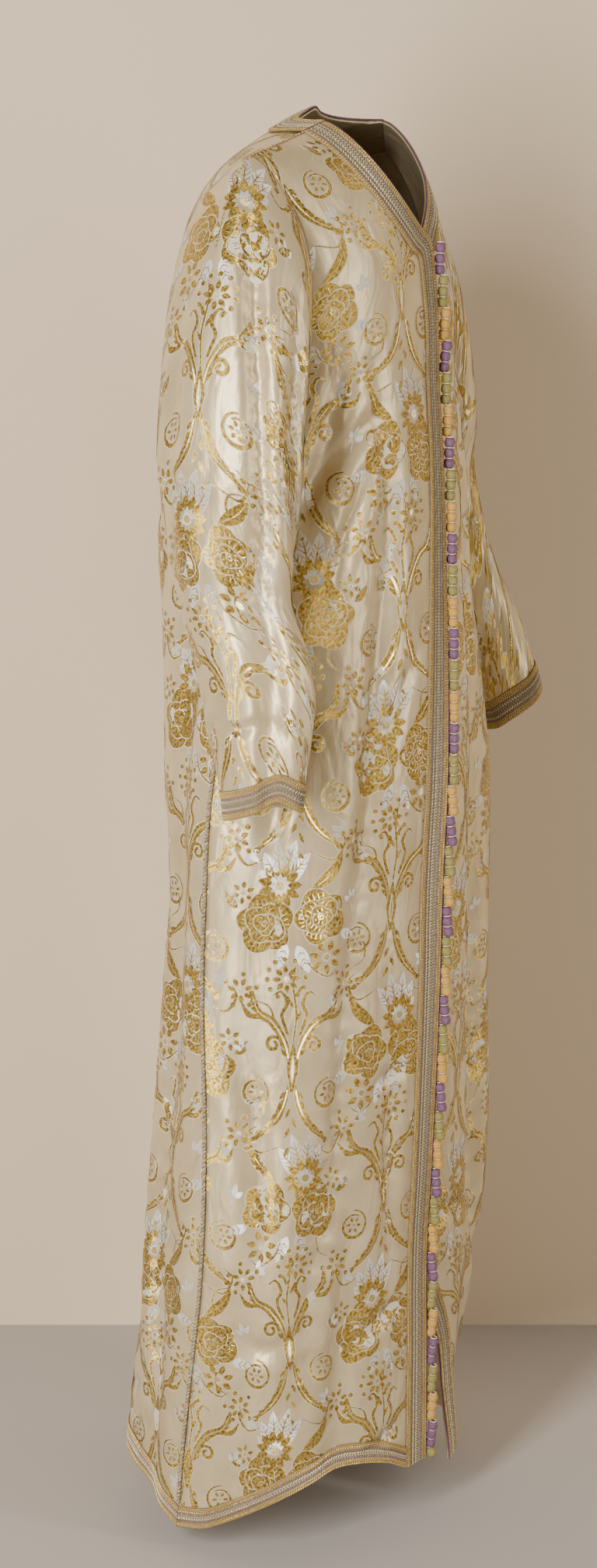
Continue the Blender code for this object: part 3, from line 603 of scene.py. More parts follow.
# %% [markdown]
# ## Brocade figures
# The figures are woven into the cloth as bouquets of roses and as scrolls, in turn down each column,
# with the next column half a repeat lower. They are drawn flat, in millimetres, from ribbons, leaves
# and scalloped discs, and then laid on the cloth by its flat measures, so they bend with the folds.
# A pale outline lies lowest, the metal thread over it and strokes of painted highlight on top.

# %% Ribbons, leaves and discs
# the highest layer holds strokes of painted highlight in pale gold
LIFTS = {"cream": 0.00025, "silver": 0.00034, "gold": 0.00034, "bright": 0.00043}
LEVEL = 0.00010


def through(points, count):
    """A smooth line through a few points."""
    line = np.array(points, dtype=float)[:, None]
    parts = max(1, round(count / (len(points) - 1)))
    return finer(line, parts, 0)[:, 0]


def toward(angle):
    """One step along an angle in radians."""
    return np.array([math.cos(angle), math.sin(angle)])


def coil(centre, radius, end_radius, start, turns, count=22):
    """A spiral line, in degrees and turns."""
    share = np.linspace(0, 1, count)
    angle = math.radians(start) + share * turns * 2 * math.pi
    reach = radius + (end_radius - radius) * share
    return np.stack([centre[0] + reach * np.cos(angle), centre[1] + reach * np.sin(angle)], axis=1)


def ribbon(figure, layer, line, width, taper=(0.25, 1.0, 0.25), level=0):
    """A strip along a line, with its width at the start, middle and end."""
    line = np.asarray(line, dtype=float)
    share = np.linspace(0, 1, len(line))
    half = width / 2 * np.interp(share, (0, 0.5, 1), taper)
    along = np.gradient(line, axis=0)
    along /= np.maximum(np.linalg.norm(along, axis=1, keepdims=True), 1e-9)
    side = np.stack([-along[:, 1], along[:, 0]], axis=1) * half[:, None]
    points = np.concatenate([line + side, line - side])
    n = len(line)
    figure.append((layer, points, [(k, k + 1, n + k + 1, n + k) for k in range(n - 1)], level))


def outlined(figure, layer, line, width, taper=(0.25, 1.0, 0.25), edge=1.5, level=0):
    grown = [part + edge / width * 0.5 for part in taper]
    ribbon(figure, "cream", line, width + edge * 0.5, grown, level)
    ribbon(figure, layer, line, width, taper, level)


def disc(figure, layer, centre, radii, level=0, size=6):
    """A filled outline round a centre."""
    n = len(radii)
    angles = np.linspace(0, 2 * math.pi, n, endpoint=False)
    way = np.stack([np.cos(angles), np.sin(angles)], axis=1)
    rings = max(1, round(float(np.max(radii)) / size))
    points, faces = [np.array([centre], dtype=float)], [(0, k + 1, (k + 1) % n + 1) for k in range(n)]
    for ring in range(rings):
        points.append(np.array(centre) + way * np.reshape(radii, (n, 1)) * (ring + 1) / rings)
        if ring:
            low, high = 1 + (ring - 1) * n, 1 + ring * n
            faces += [(low + k, high + k, high + (k + 1) % n, low + (k + 1) % n) for k in range(n)]
    figure.append((layer, np.concatenate(points), faces, level))


def leaf(figure, layer, base, angle, length, width, bend=0.0, vein=None, edge=1.2, level=0, ribs=0):
    """A pointed leaf, a vein if one is named and ribs beside it. A wide one has a middle line too."""
    n = 9 if length > 17 else 5
    share = np.linspace(0, 1, n)
    turn = math.radians(angle) + np.radians(bend) * share
    line = np.cumsum(np.stack([np.cos(turn), np.sin(turn)], axis=1) * length / (n - 1), axis=0) + base
    form = np.maximum(np.sin(np.pi * share**0.8), 0.0) ** 0.8 + 0.04
    across = np.stack([-np.sin(turn), np.cos(turn)], axis=1)
    for part, extra in (("cream", edge), (layer, 0.0)):
        side = across * (form[:, None] * width + extra) / 2
        lines = [line + side, line, line - side] if width > 7 else [line + side, line - side]
        strips = range(0, n * (len(lines) - 1), n)
        faces = [(a + k, a + k + 1, a + n + k + 1, a + n + k) for a in strips for k in range(n - 1)]
        figure.append((part, np.concatenate(lines), faces, level))
    if vein:
        ribbon(figure, vein, line[1:-1], max(0.9, width * 0.10), level=level + 1)
    for k in range(1, ribs + 1):
        place = 1 + round(5.5 * k / (ribs + 1))
        for hand in (1, -1):
            tip = line[place + 1] + across[place + 1] * hand * form[place] * width * 0.40
            ribbon(figure, "gold", [line[place], tip], 0.9, (1, 1, 0.7), level + 1)


def petal(figure, centre, angle, length, width, level, stitches=5):
    """A petal with a scalloped edge, a pale outline and stitches of painted highlight along it."""
    n = 15
    way = np.linspace(0, 2 * math.pi, n, endpoint=False) - angle
    radii = length * width / np.sqrt((width * np.cos(way)) ** 2 + (length * np.sin(way)) ** 2)
    radii = radii * (1 + 0.07 * np.cos(3 * way) * (np.cos(way) > -0.2))
    disc(figure, "cream", centre, radii + 0.95, level, 9)
    disc(figure, "gold", centre, radii, level, 9)
    ahead = toward(angle)
    side = np.array([-ahead[1], ahead[0]])
    for k in range(stitches):
        shift = (k - (stitches - 1) / 2) / stitches * 1.5
        start = centre + side * width * shift + ahead * length * 0.12
        end = start + ahead * length * (0.52 - 0.3 * abs(shift)) + side * width * shift * 0.12
        # stitches of painted highlight
        ribbon(figure, "bright", [start, end], 1.0, (1, 1, 0.6), level)


# petals in each ring, then their reach, length and width over the rose's radius, and the first angle
ROSE = ((5, 0.58, 0.42, 0.50, 0.0), (4, 0.34, 0.36, 0.40, 0.6), (3, 0.13, 0.25, 0.27, 0.2))


def rose(figure, centre, radius, turn):
    """A full rose: petals in three rings that lie over each other, round a coiled core of painted highlight."""
    for ring, (count, reach, length, width, first) in enumerate(ROSE):
        for k in range(count):
            angle = turn + first + k * 2 * math.pi / count
            place = np.array(centre) + radius * reach * toward(angle)
            size = 1 + 0.10 * math.sin(2.3 * k + turn)
            petal(figure, place, angle, radius * length * size, radius * width * size, 2 * ring + k % 2, 5 - ring)
    # the coiled core is painted highlight
    ribbon(figure, "bright", coil(centre, radius * 0.13, 0.5, math.degrees(turn), 1.3, 14), 1.4, (1, 1, 1), 6)


def daisy(figure, centre, radius, petals, turn=0.0, layer="gold", level=0):
    for k in range(petals):
        angle = turn + 360 * k / petals
        base = np.array(centre) + toward(math.radians(angle)) * radius * 0.26
        leaf(figure, layer, base, angle, radius * 0.76, radius * 0.44, edge=0.9, level=level)
    disc(figure, "cream", centre, np.full(9, radius * 0.30), level + 1)
    # a small centre of painted highlight on the pale disc
    disc(figure, "bright", centre, np.full(9, radius * 0.22), level + 1)


def berry(figure, centre, radius, edge, sides=7):
    disc(figure, "cream", centre, np.full(sides, radius + edge))
    disc(figure, "gold", centre, np.full(sides, radius))


def sprig(figure, base, angle, size, layer="silver"):
    for turn, length in ((0, 1.0), (42, 0.8), (-42, 0.8)):
        leaf(figure, layer, base, angle + turn, size * length, size * 0.42, edge=0.6)
    tip = np.array(base) + size * 0.9 * toward(math.radians(angle + 180))
    ribbon(figure, layer, [base, tip], 0.9, (1, 1, 0.6))


def feathered(figure, line, width, side, barbs=7, taper=(0.35, 1.0, 0.5)):
    """A curved arm with a pale outline, a painted highlight along its middle and small leaves along one side."""
    outlined(figure, "gold", line, width, taper, 1.6)
    ribbon(figure, "bright", line[2:-2], width * 0.22, (1, 1, 0.6), 1)
    along = np.gradient(line, axis=0)
    for k in range(barbs):
        place = int((k + 1) * (len(line) - 2) / (barbs + 1))
        angle = math.degrees(math.atan2(along[place, 1], along[place, 0]))
        leaf(figure, "gold", line[place], angle + side * 38, 11 - 0.6 * k, 3.6, bend=-side * 26, edge=0.9)


# %% The bouquet, the scroll and small sprays
def bouquet():
    figure = []
    for angle, length in ((58, 40), (80, 46), (102, 44), (124, 38), (146, 28)):
        leaf(figure, "silver", (-8, 26), angle, length, 14, bend=-12, vein="gold", ribs=4, level=(angle // 22) % 2)
    # this leaf's vein is a line of painted highlight
    leaf(figure, "gold", (16, 24), 18, 46, 12, bend=48, vein="bright", ribs=4)
    daisy(figure, (-12, 30), 19, 11, level=2)
    daisy(figure, (-50, 24), 10, 6, 20)
    rose(figure, np.array([-29.0, -8.0]), 30, 0.4)
    rose(figure, np.array([29.0, -4.0]), 28, 1.9)
    # this leaf's vein is a line of painted highlight
    leaf(figure, "gold", (-54, 8), 150, 20, 8, bend=-40, vein="bright")
    leaf(figure, "silver", (2, -28), -70, 30, 12, vein="cream", ribs=3)
    leaf(figure, "silver", (-6, -26), -115, 27, 11, vein="cream", ribs=3)
    leaf(figure, "silver", (48, -22), -35, 22, 10, bend=30, vein="cream", ribs=2)
    daisy(figure, (32, -46), 15, 7, 12)
    daisy(figure, (-10, -64), 12, 8)
    for angle in range(0, 360, 30):
        berry(figure, np.array([-10.0, -64.0]) + toward(math.radians(angle)) * 20, 2.7, 0.7)
    outlined(figure, "gold", through([(10, -36), (16, -54), (32, -66), (44, -60)], 15), 2.6)
    for way in (-1, 1):
        outlined(figure, "gold", through([(way * 20, 62), (way * 44, 52), (way * 56, 70), (way * 46, 80)], 16), 3.0)
    return figure


def scroll():
    figure = []
    for side in (-1, 1):
        arm = [(side * 3, -4), (side * 9, 20), (side * 22, 40), (side * 38, 50), (side * 46, 70)]
        feathered(figure, through(arm, 26), 9.5, -side, 9)
        horn = through([(side * 34, 44), (side * 48, 46), (side * 56, 58)], 12)
        outlined(figure, "gold", horn, 6.5, (0.5, 1.0, 0.2))
        curl = coil((side * 21, 18), 9.0, 2.5, 90 + side * 90, -side * 1.25, 24)
        outlined(figure, "gold", curl, 4.2, (0.8, 1.0, 0.8))
        foot = [(side * 3, -22), (side * 9, -46), (side * 21, -66), (side * 40, -82)]
        feathered(figure, through(foot, 24), 8.0, side, 8)
        berry(figure, (side * 42, -84), 3.6, 1.0, 9)
        ring = coil((side * 40, -34), 16, 11, 90, side * 1.1, 30)
        outlined(figure, "gold", ring, 4.2, (0.4, 1.0, 0.4))
        daisy(figure, (side * 40, -34), 8, 6, 10)
        hook = through([(side * 6, 28), (side * 13, 48), (side * 8, 60), (side * 14, 72), (side * 22, 68)], 18)
        outlined(figure, "gold", hook, 4.2, (0.8, 1.0, 0.3))
    drop = through([(0, -30), (0, -18), (0, -6), (0, 8), (0, 20)], 16)
    outlined(figure, "gold", drop, 13, (0.25, 1.0, 0.12), 1.8, 1)
    ribbon(figure, "cream", drop[3:-4], 5.5, (0.3, 1.0, 0.2), 2)
    # a strip of painted highlight along the middle of the drop
    ribbon(figure, "bright", drop[4:-5], 2.6, (0.3, 1.0, 0.2), 3)
    for k in range(6):
        leaf(figure, "gold", (0, -44 - 10 * k), -90 + (24 if k % 2 else -24), 12, 4.2, edge=0.9)
    outlined(figure, "gold", through([(0, 22), (2, 50), (-2, 78), (0, 100)], 20), 2.4, (0.8, 1.0, 0.4))
    for k in range(4):
        leaf(figure, "gold", (0, 40 + 13 * k), 90 + (30 if k % 2 else -30), 12, 3.6, edge=0.9)
    sprig(figure, np.array([52.0, 10.0]), 70, 13)
    sprig(figure, np.array([-52.0, 6.0]), 110, 13)
    return figure


def spray():
    figure = []
    daisy(figure, (0, 0), 11, 7)
    for angle in (20, 80, 150, 215, 290):
        berry(figure, toward(math.radians(angle)) * 17, 2.8, 0.7)
    sprig(figure, np.array([4.0, -16.0]), -70, 13)
    outlined(figure, "gold", through([(-4, 16), (-12, 32), (-4, 46), (4, 36)], 16), 2.6)
    return figure


def gathered(figure):
    """The parts of a figure joined layer by layer, in metres, with each point's lift."""
    joined = {}
    for layer, points, faces, level in figure:
        old_points, old_faces = joined.get(layer, (np.zeros((0, 3)), []))
        start = len(old_points)
        old_faces.extend([tuple(start + k for k in face) for face in faces])
        lift = np.full((len(points), 1), LIFTS[layer] + LEVEL * level)
        joined[layer] = (np.concatenate([old_points, np.hstack([np.asarray(points) / 1000, lift])]), old_faces)
    return joined


FIGURES = {"bouquet": gathered(bouquet()), "scroll": gathered(scroll()), "spray": gathered(spray())}
for name, layers in FIGURES.items():
    print(name, {layer: len(faces) for layer, (_, faces) in layers.items()})

# %% [markdown]
# ## Laying the figures on the cloth
# A flat copy of the cloth's grid finds the square under each point of a figure, and the same place in
# the real square gives the point in space. Points past the edge of the cloth move onto its edge, as a
# figure is cut off by a seam.

# %% Laying figures
REPEAT, COLUMN = 0.300, 0.118


def flat_tree(cloth):
    rows, columns = cloth["flat"].shape[:2]
    faces = quads(rows, columns)
    flat = [(u, v, 0.0) for u, v in cloth["flat"].reshape(-1, 2)]
    return faces, BVHTree.FromPolygons(flat, faces.tolist())


def on_cloth(cloth, places, lift):
    """Points in space over flat places, and how far each place lies outside the cloth."""
    faces, tree = cloth["tree"]
    hits = [tree.find_nearest((u, v, 0.0)) for u, v in places]
    found = np.array([hit[0][:2] for hit in hits])
    cells = faces[[hit[2] for hit in hits]]
    outside = np.array([hit[3] for hit in hits])
    flat = cloth["flat"].reshape(-1, 2)
    a, b, d = (flat[cells[:, k]] for k in (0, 1, 3))
    along, up = b - a, d - a
    size = along[:, 0] * up[:, 1] - along[:, 1] * up[:, 0]
    size = np.where(np.abs(size) < 1e-12, 1e-12, size)
    rest = found - a
    s = np.clip((rest[:, 0] * up[:, 1] - rest[:, 1] * up[:, 0]) / size, 0, 1)[:, None]
    t = np.clip((along[:, 0] * rest[:, 1] - along[:, 1] * rest[:, 0]) / size, 0, 1)[:, None]
    shares = ((1 - s) * (1 - t), s * (1 - t), s * t, (1 - s) * t)
    solid, ways = cloth["points"].reshape(-1, 3), cloth["ways"].reshape(-1, 3)
    point = sum(share * solid[cells[:, k]] for k, share in enumerate(shares))
    way = sum(share * ways[cells[:, k]] for k, share in enumerate(shares))
    way /= np.linalg.norm(way, axis=1, keepdims=True)
    return point + way * lift[:, None], way, outside


def columns_of(cloth, first, low_first):
    """Where bouquets, scrolls and sprays fall on one piece of cloth."""
    low, high = cloth["flat"].min(axis=(0, 1)), cloth["flat"].max(axis=(0, 1))
    found = []
    k = math.floor((low[0] - first) / COLUMN)
    while first + k * COLUMN < high[0] + COLUMN / 2:
        start = low_first + (REPEAT / 2 if k % 2 else 0)
        n = math.floor((low[1] - start) / REPEAT)
        while start + n * REPEAT < high[1] + REPEAT / 2:
            u, v = first + k * COLUMN, start + n * REPEAT
            side = -1 if (k + n) % 2 else 1
            found.append(("bouquet", u, v, side, 0.06 * side))
            found.append(("scroll", u, v + REPEAT / 2, -side, 0.04 * side))
            found.append(("spray", u + COLUMN / 2, v + REPEAT * 0.25, side, 0.5 * side))
            found.append(("spray", u + COLUMN * 0.46, v + REPEAT * 0.74, -side, 2.4 * side))
            n += 1
        k += 1
    return found


def weave_figures(node, cloth, placed):
    """One piece for each kind of thread on this cloth."""
    stacks = {}
    for name, u, v, side, turn in placed:
        spin = np.array([[math.cos(turn), math.sin(turn)], [-math.sin(turn), math.cos(turn)]])
        for layer, (points, faces) in FIGURES[name].items():
            moved = np.hstack([(points[:, :2] * (side, 1)) @ spin + (u, v), points[:, 2:]])
            cornered = np.array([f if len(f) == 4 else (*f, f[0]) for f in faces])
            stacks.setdefault(layer, []).append((moved, cornered))
    made = []
    for layer, parts in stacks.items():
        starts = np.cumsum([0] + [len(points) for points, _ in parts[:-1]])
        places = np.concatenate([points for points, _ in parts])
        faces = np.concatenate([faces + start for (_, faces), start in zip(parts, starts)])
        solid, ways, outside = on_cloth(cloth, places[:, :2], places[:, 2])
        kept = faces[(outside[faces] < 2e-4).any(axis=1)]
        a, b, c, d = (solid[kept[:, k]] for k in range(4))
        size = np.linalg.norm(np.cross(c - a, b - d + 1e-12), axis=1)
        kept = kept[size > 2e-8]
        a, b, c = (solid[kept[:, k]] for k in range(3))
        wrong = (np.cross(b - a, c - a) * ways[kept[:, 0]]).sum(axis=1) < 0
        kept[wrong] = kept[wrong][:, ::-1]
        used, numbers = np.unique(kept, return_inverse=True)
        listed = [list(dict.fromkeys(face)) for face in numbers.reshape(kept.shape).tolist()]
        listed = [face for face in listed if len(face) > 2]
        piece = finish_mesh(f"{layer}_figures_{node}", solid[used], listed, places[used, :2], [layer])
        made.append(piece)
    return made


LAYOUT = {
    "front_right": (0.074, -0.06), "front_left": (0.074, 0.03), "back": (0.0, -0.02),
    "sleeve_right": (0.0, -0.08), "sleeve_left": (0.0, -0.16),
}
WOVEN = {}
total = 0
for node, cloth in CLOTH.items():
    cloth["tree"] = flat_tree(cloth)
    WOVEN[node] = weave_figures(node, cloth, columns_of(cloth, *LAYOUT[node]))
    count = sum(len(piece.data.polygons) for piece in WOVEN[node])
    total += count
    print("figures on", node, count, "faces")
print("figure faces in all", total)

# %% [markdown]
# ## Woven braid
# The edge braid is plaited: a gold border on each side and slanted stitches of silver, purple and
# green between them, which lean the other way in each next column. One stitch is a low roof of four
# faces. Thousands of them are set out along the band, over a dark ground that shows between them.

# %% Bands that follow an edge
BRAID_GROUND, STITCH_LOW, STITCH_HIGH = 0.0015, 0.0013, 0.0023
BRAID_THICK = 0.0018


def band_of(node, rows, columns, turned=False):
    cloth = CLOTH[node]
    parts = [cloth[key][rows, columns] for key in ("points", "guide", "flat")]
    return [part.transpose(1, 0, 2) for part in parts] if turned else parts


def back_neck_band():
    """The braid round the back of the neck, read from its own solid."""
    grid, ways = wall_grid("braid_back", thick=BRAID_THICK)
    if grid.shape[0] < grid.shape[1]:
        grid, ways = grid.transpose(1, 0, 2), ways.transpose(1, 0, 2)
    points = finer(finer(grid - ways * BRAID_THICK, FINE_COLUMNS, 1), FINE_ROWS, 0)
    ways = finer(finer(ways, FINE_COLUMNS, 1), FINE_ROWS, 0)
    ways /= np.linalg.norm(ways, axis=2, keepdims=True)
    flat = np.stack([measured(points, 1, 0), measured(points, 0, 0)], axis=2)
    return [points, ways, flat]


EDGE = slice(0, BRAID_COLUMNS + 1)
BESIDE = slice(BRAID_COLUMNS, None)
HEM = slice(0, 2 * FINE_ROWS + 1)
CUFF = slice(-2 * FINE_ROWS - 1, None)
ALL = slice(None)
BANDS = {
    "braid_right": band_of("front_right", ALL, EDGE),
    "braid_left": band_of("front_left", ALL, EDGE),
    "braid_back": back_neck_band(),
    "hem_braid_right": band_of("front_right", HEM, BESIDE, True),
    "hem_braid_left": band_of("front_left", HEM, BESIDE, True),
    "hem_braid_back": band_of("back", HEM, ALL, True),
    "cuff_braid_right": band_of("sleeve_right", CUFF, ALL, True),
    "cuff_braid_left": band_of("sleeve_left", CUFF, ALL, True),
}


def length_of(line):
    return np.insert(np.cumsum(np.linalg.norm(np.diff(line, axis=0), axis=1)), 0, 0)


def on_band(band, along, across, lift):
    """Points over a band, from metres along it and shares across it."""
    points, ways = band[:2]
    rows, columns = points.shape[:2]
    run = length_of(points[:, columns // 2])
    side = length_of(points[rows // 2])
    j = np.clip(np.interp(along, run, np.arange(rows)), 0, rows - 1.001)
    i = np.clip(np.interp(across * side[-1], side, np.arange(columns)), 0, columns - 1.001)
    low_j, low_i = j.astype(int), i.astype(int)
    t, s = (j - low_j)[:, None], (i - low_i)[:, None]

    def mixed(grid):
        below = grid[low_j, low_i] * (1 - s) + grid[low_j, low_i + 1] * s
        above = grid[low_j + 1, low_i] * (1 - s) + grid[low_j + 1, low_i + 1] * s
        return below * (1 - t) + above * t

    return mixed(points) + mixed(ways) * np.reshape(lift, (-1, 1))


# %% Plaited stitches
STITCH = np.array([
    (-0.42, 0.34, 0), (0.34, 0.46, 0), (0.42, -0.34, 0), (-0.34, -0.46, 0), (-0.2, 0, 1), (0.2, 0, 1),
])
STITCH_FACES = np.array([(0, 3, 4, 4), (3, 2, 5, 4), (2, 1, 5, 5), (1, 0, 4, 5)])
COLUMNS_IN = ("braid_purple", "braid_silver", "braid_green", "braid_silver")  # from both borders inward


BORDER, BORDER_PITCH, MIDDLE_PITCH, COLUMN_PAIR = 0.0067, 0.0026, 0.0031, 0.0052


def stitch_columns(width):
    """(place, width, slant, pitch, kind) of each column of stitches across a band, in metres."""
    border = [(0.0013 + 0.0021 * k, 0.0022, 1 if k % 2 else -1) for k in range(3)]
    found = [(a, w, slant, BORDER_PITCH, "braid_gold") for a, w, slant in border]
    found += [(width - a, w, -slant, BORDER_PITCH, "braid_gold") for a, w, slant in border]
    count = 2 * round((width - 2 * BORDER) / COLUMN_PAIR)
    step = (width - 2 * BORDER) / count
    for k in range(count):
        kind = COLUMNS_IN[min(k, count - 1 - k) % 4]
        found.append((BORDER + step * (k + 0.5), step * 0.84, 1 if k % 2 else -1, MIDDLE_PITCH, kind))
    return found


def plait(name, band, width, materials):
    """All stitches of one band as one mesh."""
    run = length_of(band[0][:, band[0].shape[1] // 2])[-1]
    verts, faces, index = [], [], []
    for place, wide, slant, pitch, kind in stitch_columns(width):
        count = int(run / pitch)
        step = run / count
        at = (np.arange(count) + 0.5) * step
        lean = math.radians(38 * slant)
        x = STITCH[:, 0] * step * 1.45
        y = STITCH[:, 1] * wide
        along = at[:, None] + (x * math.cos(lean) - y * math.sin(lean))[None]
        across = place + (x * math.sin(lean) + y * math.cos(lean))[None] + np.zeros_like(along)
        lift = STITCH_LOW + (STITCH_HIGH - STITCH_LOW) * STITCH[:, 2][None] + np.zeros_like(along)
        start = sum(len(part) for part in verts)
        verts.append(on_band(band, along.ravel(), across.ravel() / width, lift.ravel()))
        faces.append((STITCH_FACES[None] + (start + np.arange(count) * len(STITCH))[:, None, None]).reshape(-1, 4))
        index += [materials.index(kind)] * count * len(STITCH_FACES)
    verts, faces = np.concatenate(verts), np.concatenate(faces)
    flat = np.stack([verts[:, 0] + verts[:, 1], verts[:, 2]], axis=1)
    listed = [list(dict.fromkeys(face)) for face in faces.tolist()]
    piece = finish_mesh(name, verts, listed, flat, materials, index=index, smooth=False)
    work = bmesh.new()
    work.from_mesh(piece.data)
    bmesh.ops.recalc_face_normals(work, faces=work.faces)
    work.to_mesh(piece.data)
    work.free()
    return piece


WIDTHS = {"braid": 0.032, "hem": 0.024, "cuff": 0.028}
PLAIT_KINDS = ["braid_gold", "braid_silver", "braid_purple", "braid_green"]
BRAID_OFF = 0.0002  # the ground stands this far off the cloth
TRIMS = {}
for name, band in BANDS.items():
    points, ways, flat = band
    top = points + ways * BRAID_GROUND
    ground = shell(name + "_ground", top, ways, flat, BRAID_GROUND - BRAID_OFF, "braid_ground")
    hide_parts(name)
    plaited = plait(name + "_plait", band, WIDTHS[name.split("_")[0]], PLAIT_KINDS)
    TRIMS[name] = [ground, plaited]
    print(plaited.name, len(plaited.data.polygons), "faces")

# %% [markdown]
# ## Cords and edging
# A thin purple thread finishes the braid's free edge, and a cord of one gold and one grey strand runs
# down each side seam. A cord is a tube swept along a line, and a twisted one is two tubes wound round
# the same line.

# %% Tubes along a line


def tube(line, radii, sides):
    """Points and faces of a tube with closed ends."""
    along = np.gradient(line, axis=0)
    along /= np.linalg.norm(along, axis=1, keepdims=True)
    side = np.cross(along[0], (0.3, 0.5, 0.8))
    rings = []
    for k in range(len(line)):
        side = side - along[k] * np.dot(side, along[k])
        side /= np.linalg.norm(side)
        up = np.cross(along[k], side)
        turn = np.linspace(0, 2 * math.pi, sides, endpoint=False)[:, None]
        rings.append(line[k] + radii[k] * (np.cos(turn) * side + np.sin(turn) * up))
    verts = np.concatenate(rings)
    faces = []
    for k in range(len(line) - 1):
        for i in range(sides):
            a, b = k * sides + i, k * sides + (i + 1) % sides
            faces.append((a, b, b + sides, a + sides))
    faces.append(tuple(range(sides))[::-1])
    faces.append(tuple(range((len(line) - 1) * sides, len(line) * sides)))
    return verts, faces


def tubes(name, parts, materials, index=None):
    """Several tubes joined in one piece, each with its own material number."""
    verts, faces, numbers, start = [], [], [], 0
    for k, (part_verts, part_faces) in enumerate(parts):
        verts.append(part_verts)
        faces += [tuple(start + v for v in face) for face in part_faces]
        numbers += [0 if index is None else index[k]] * len(part_faces)
        start += len(part_verts)
    verts = np.concatenate(verts)
    flat = np.stack([verts[:, 0] + verts[:, 1], verts[:, 2]], axis=1)
    return finish_mesh(name, verts, faces, flat, materials, index=numbers)


def evenly_spaced(line, step):
    run = length_of(line)
    wanted = np.linspace(0, run[-1], max(3, int(run[-1] / step) + 1))
    return np.stack([np.interp(wanted, run, line[:, k]) for k in range(3)], axis=1)


for name in ("braid_right", "braid_left", "braid_back"):
    points, ways, _ = BANDS[name]
    edge = 0
    if name == "braid_back" and points[:, -1, 2].mean() > points[:, 0, 2].mean():
        edge = -1
    line = evenly_spaced(points[:, edge] + ways[:, edge] * 0.0011, 0.0013)
    beads = 0.00072 + 0.00030 * np.abs(np.sin(np.arange(len(line)) * math.pi / 2.3))
    piece = tubes(name + "_edging", [tube(line, beads, 5)], ["purple_silk"])
    TRIMS[name].append(piece)
    print(piece.name, round(length_of(line)[-1], 3), "m")

CORD_RADIUS, CORD_STEP, TWIST_PITCH, STRAND_OUT, STRAND_RADIUS = 0.0022, 0.0014, 0.0085, 0.00105, 0.00125
for which, node in (("right", "front_right"), ("left", "front_left")):
    rows = slice(2 * FINE_ROWS + 1, (UNDERARM_ROW - 1) * FINE_ROWS + 1)
    seam, ways = CLOTH[node]["points"][rows, -1], CLOTH[node]["guide"][rows, -1]
    line = evenly_spaced(seam + ways * (CORD_RADIUS + 0.0007), CORD_STEP)
    along = np.gradient(line, axis=0)
    along /= np.linalg.norm(along, axis=1, keepdims=True)
    side = np.cross(along, (0.0, 1.0, 0.0))
    side /= np.linalg.norm(side, axis=1, keepdims=True)
    up = np.cross(along, side)
    turn = (length_of(line) / TWIST_PITCH * 2 * math.pi)[:, None]
    strands = []
    for phase in (0, math.pi):
        wound = line + STRAND_OUT * (np.cos(turn + phase) * side + np.sin(turn + phase) * up)
        strands.append(tube(wound, np.full(len(line), STRAND_RADIUS), 5))
    piece = tubes("twisted_cord_" + which, strands, ["cord_gold", "cord_grey"], (0, 1))
    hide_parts("seam_cord_" + which)
    print(piece.name, round(length_of(line)[-1], 3), "m")

# %% [markdown]
# ## Knotted buttons
# Each button is a ball knotted from silk cord, so its skin is a basket of crossing strands. One ball is
# made and shaped once, and then copied to each place in the row, in groups of three of one colour. Each
# sits in a small gold loop that comes from the other front.

# %% One knotted ball
KNOT_RADIUS, KNOT_PITCH, KNOT_OUT = 0.0055, 0.0109, np.array((0.0012, -0.0016, 0.0))
bpy.ops.object.select_all(action="DESELECT")
bpy.ops.mesh.primitive_uv_sphere_add(segments=16, ring_count=11, radius=1.0, location=(0, 0, 0))
ball = bpy.context.object
bpy.ops.object.mode_set(mode="EDIT")
bpy.ops.mesh.select_all(action="SELECT")
bpy.ops.transform.resize(value=(1.0, 1.0, 1.08))
bpy.ops.object.mode_set(mode="OBJECT")
skin = np.array([tuple(v.co) for v in ball.data.vertices])
turn, height = np.arctan2(skin[:, 1], skin[:, 0]), np.clip(skin[:, 2] / 1.08, -1, 1)
lean = np.arcsin(height)
square = 1 + 0.14 * (1 - np.abs(np.cos(2 * lean)))
basket = np.maximum(np.sin(4 * turn + 7 * lean), np.sin(4 * turn - 7 * lean + 1.0))
BALL = skin * (square * (0.965 + 0.035 * basket))[:, None]
BALL_FACES = [tuple(p.vertices) for p in ball.data.polygons]
bpy.data.objects.remove(ball, do_unlink=True)
print("one ball", len(BALL_FACES), "faces")

# %% The row of buttons
knot_nodes = sorted(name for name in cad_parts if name.startswith("knots_"))
by_colour = {"purple": [], "green": [], "gold": []}
for group, node in enumerate(knot_nodes):
    verts = np.array([tuple(v.co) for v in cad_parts[node].data.vertices])
    low, high = verts[np.argmin(verts[:, 2])], verts[np.argmax(verts[:, 2])]
    middle = verts.mean(axis=0)
    axis = (high - low) / np.linalg.norm(high - low)
    spread = (verts - middle) @ axis
    length = np.ptp(spread)
    count = max(1, round(length / KNOT_PITCH))
    colour = ("purple", "green", "gold")[group % 3]
    start = middle + axis * spread.max()
    for k in range(count):
        centre = start - axis * length * (k + 0.5) / count + KNOT_OUT
        by_colour[colour].append((centre, axis, length / count, node))


def frame_on(axis):
    side = np.cross(axis, (0.0, 1.0, 0.0))
    side /= np.linalg.norm(side)
    return np.stack([side, np.cross(axis, side), axis])


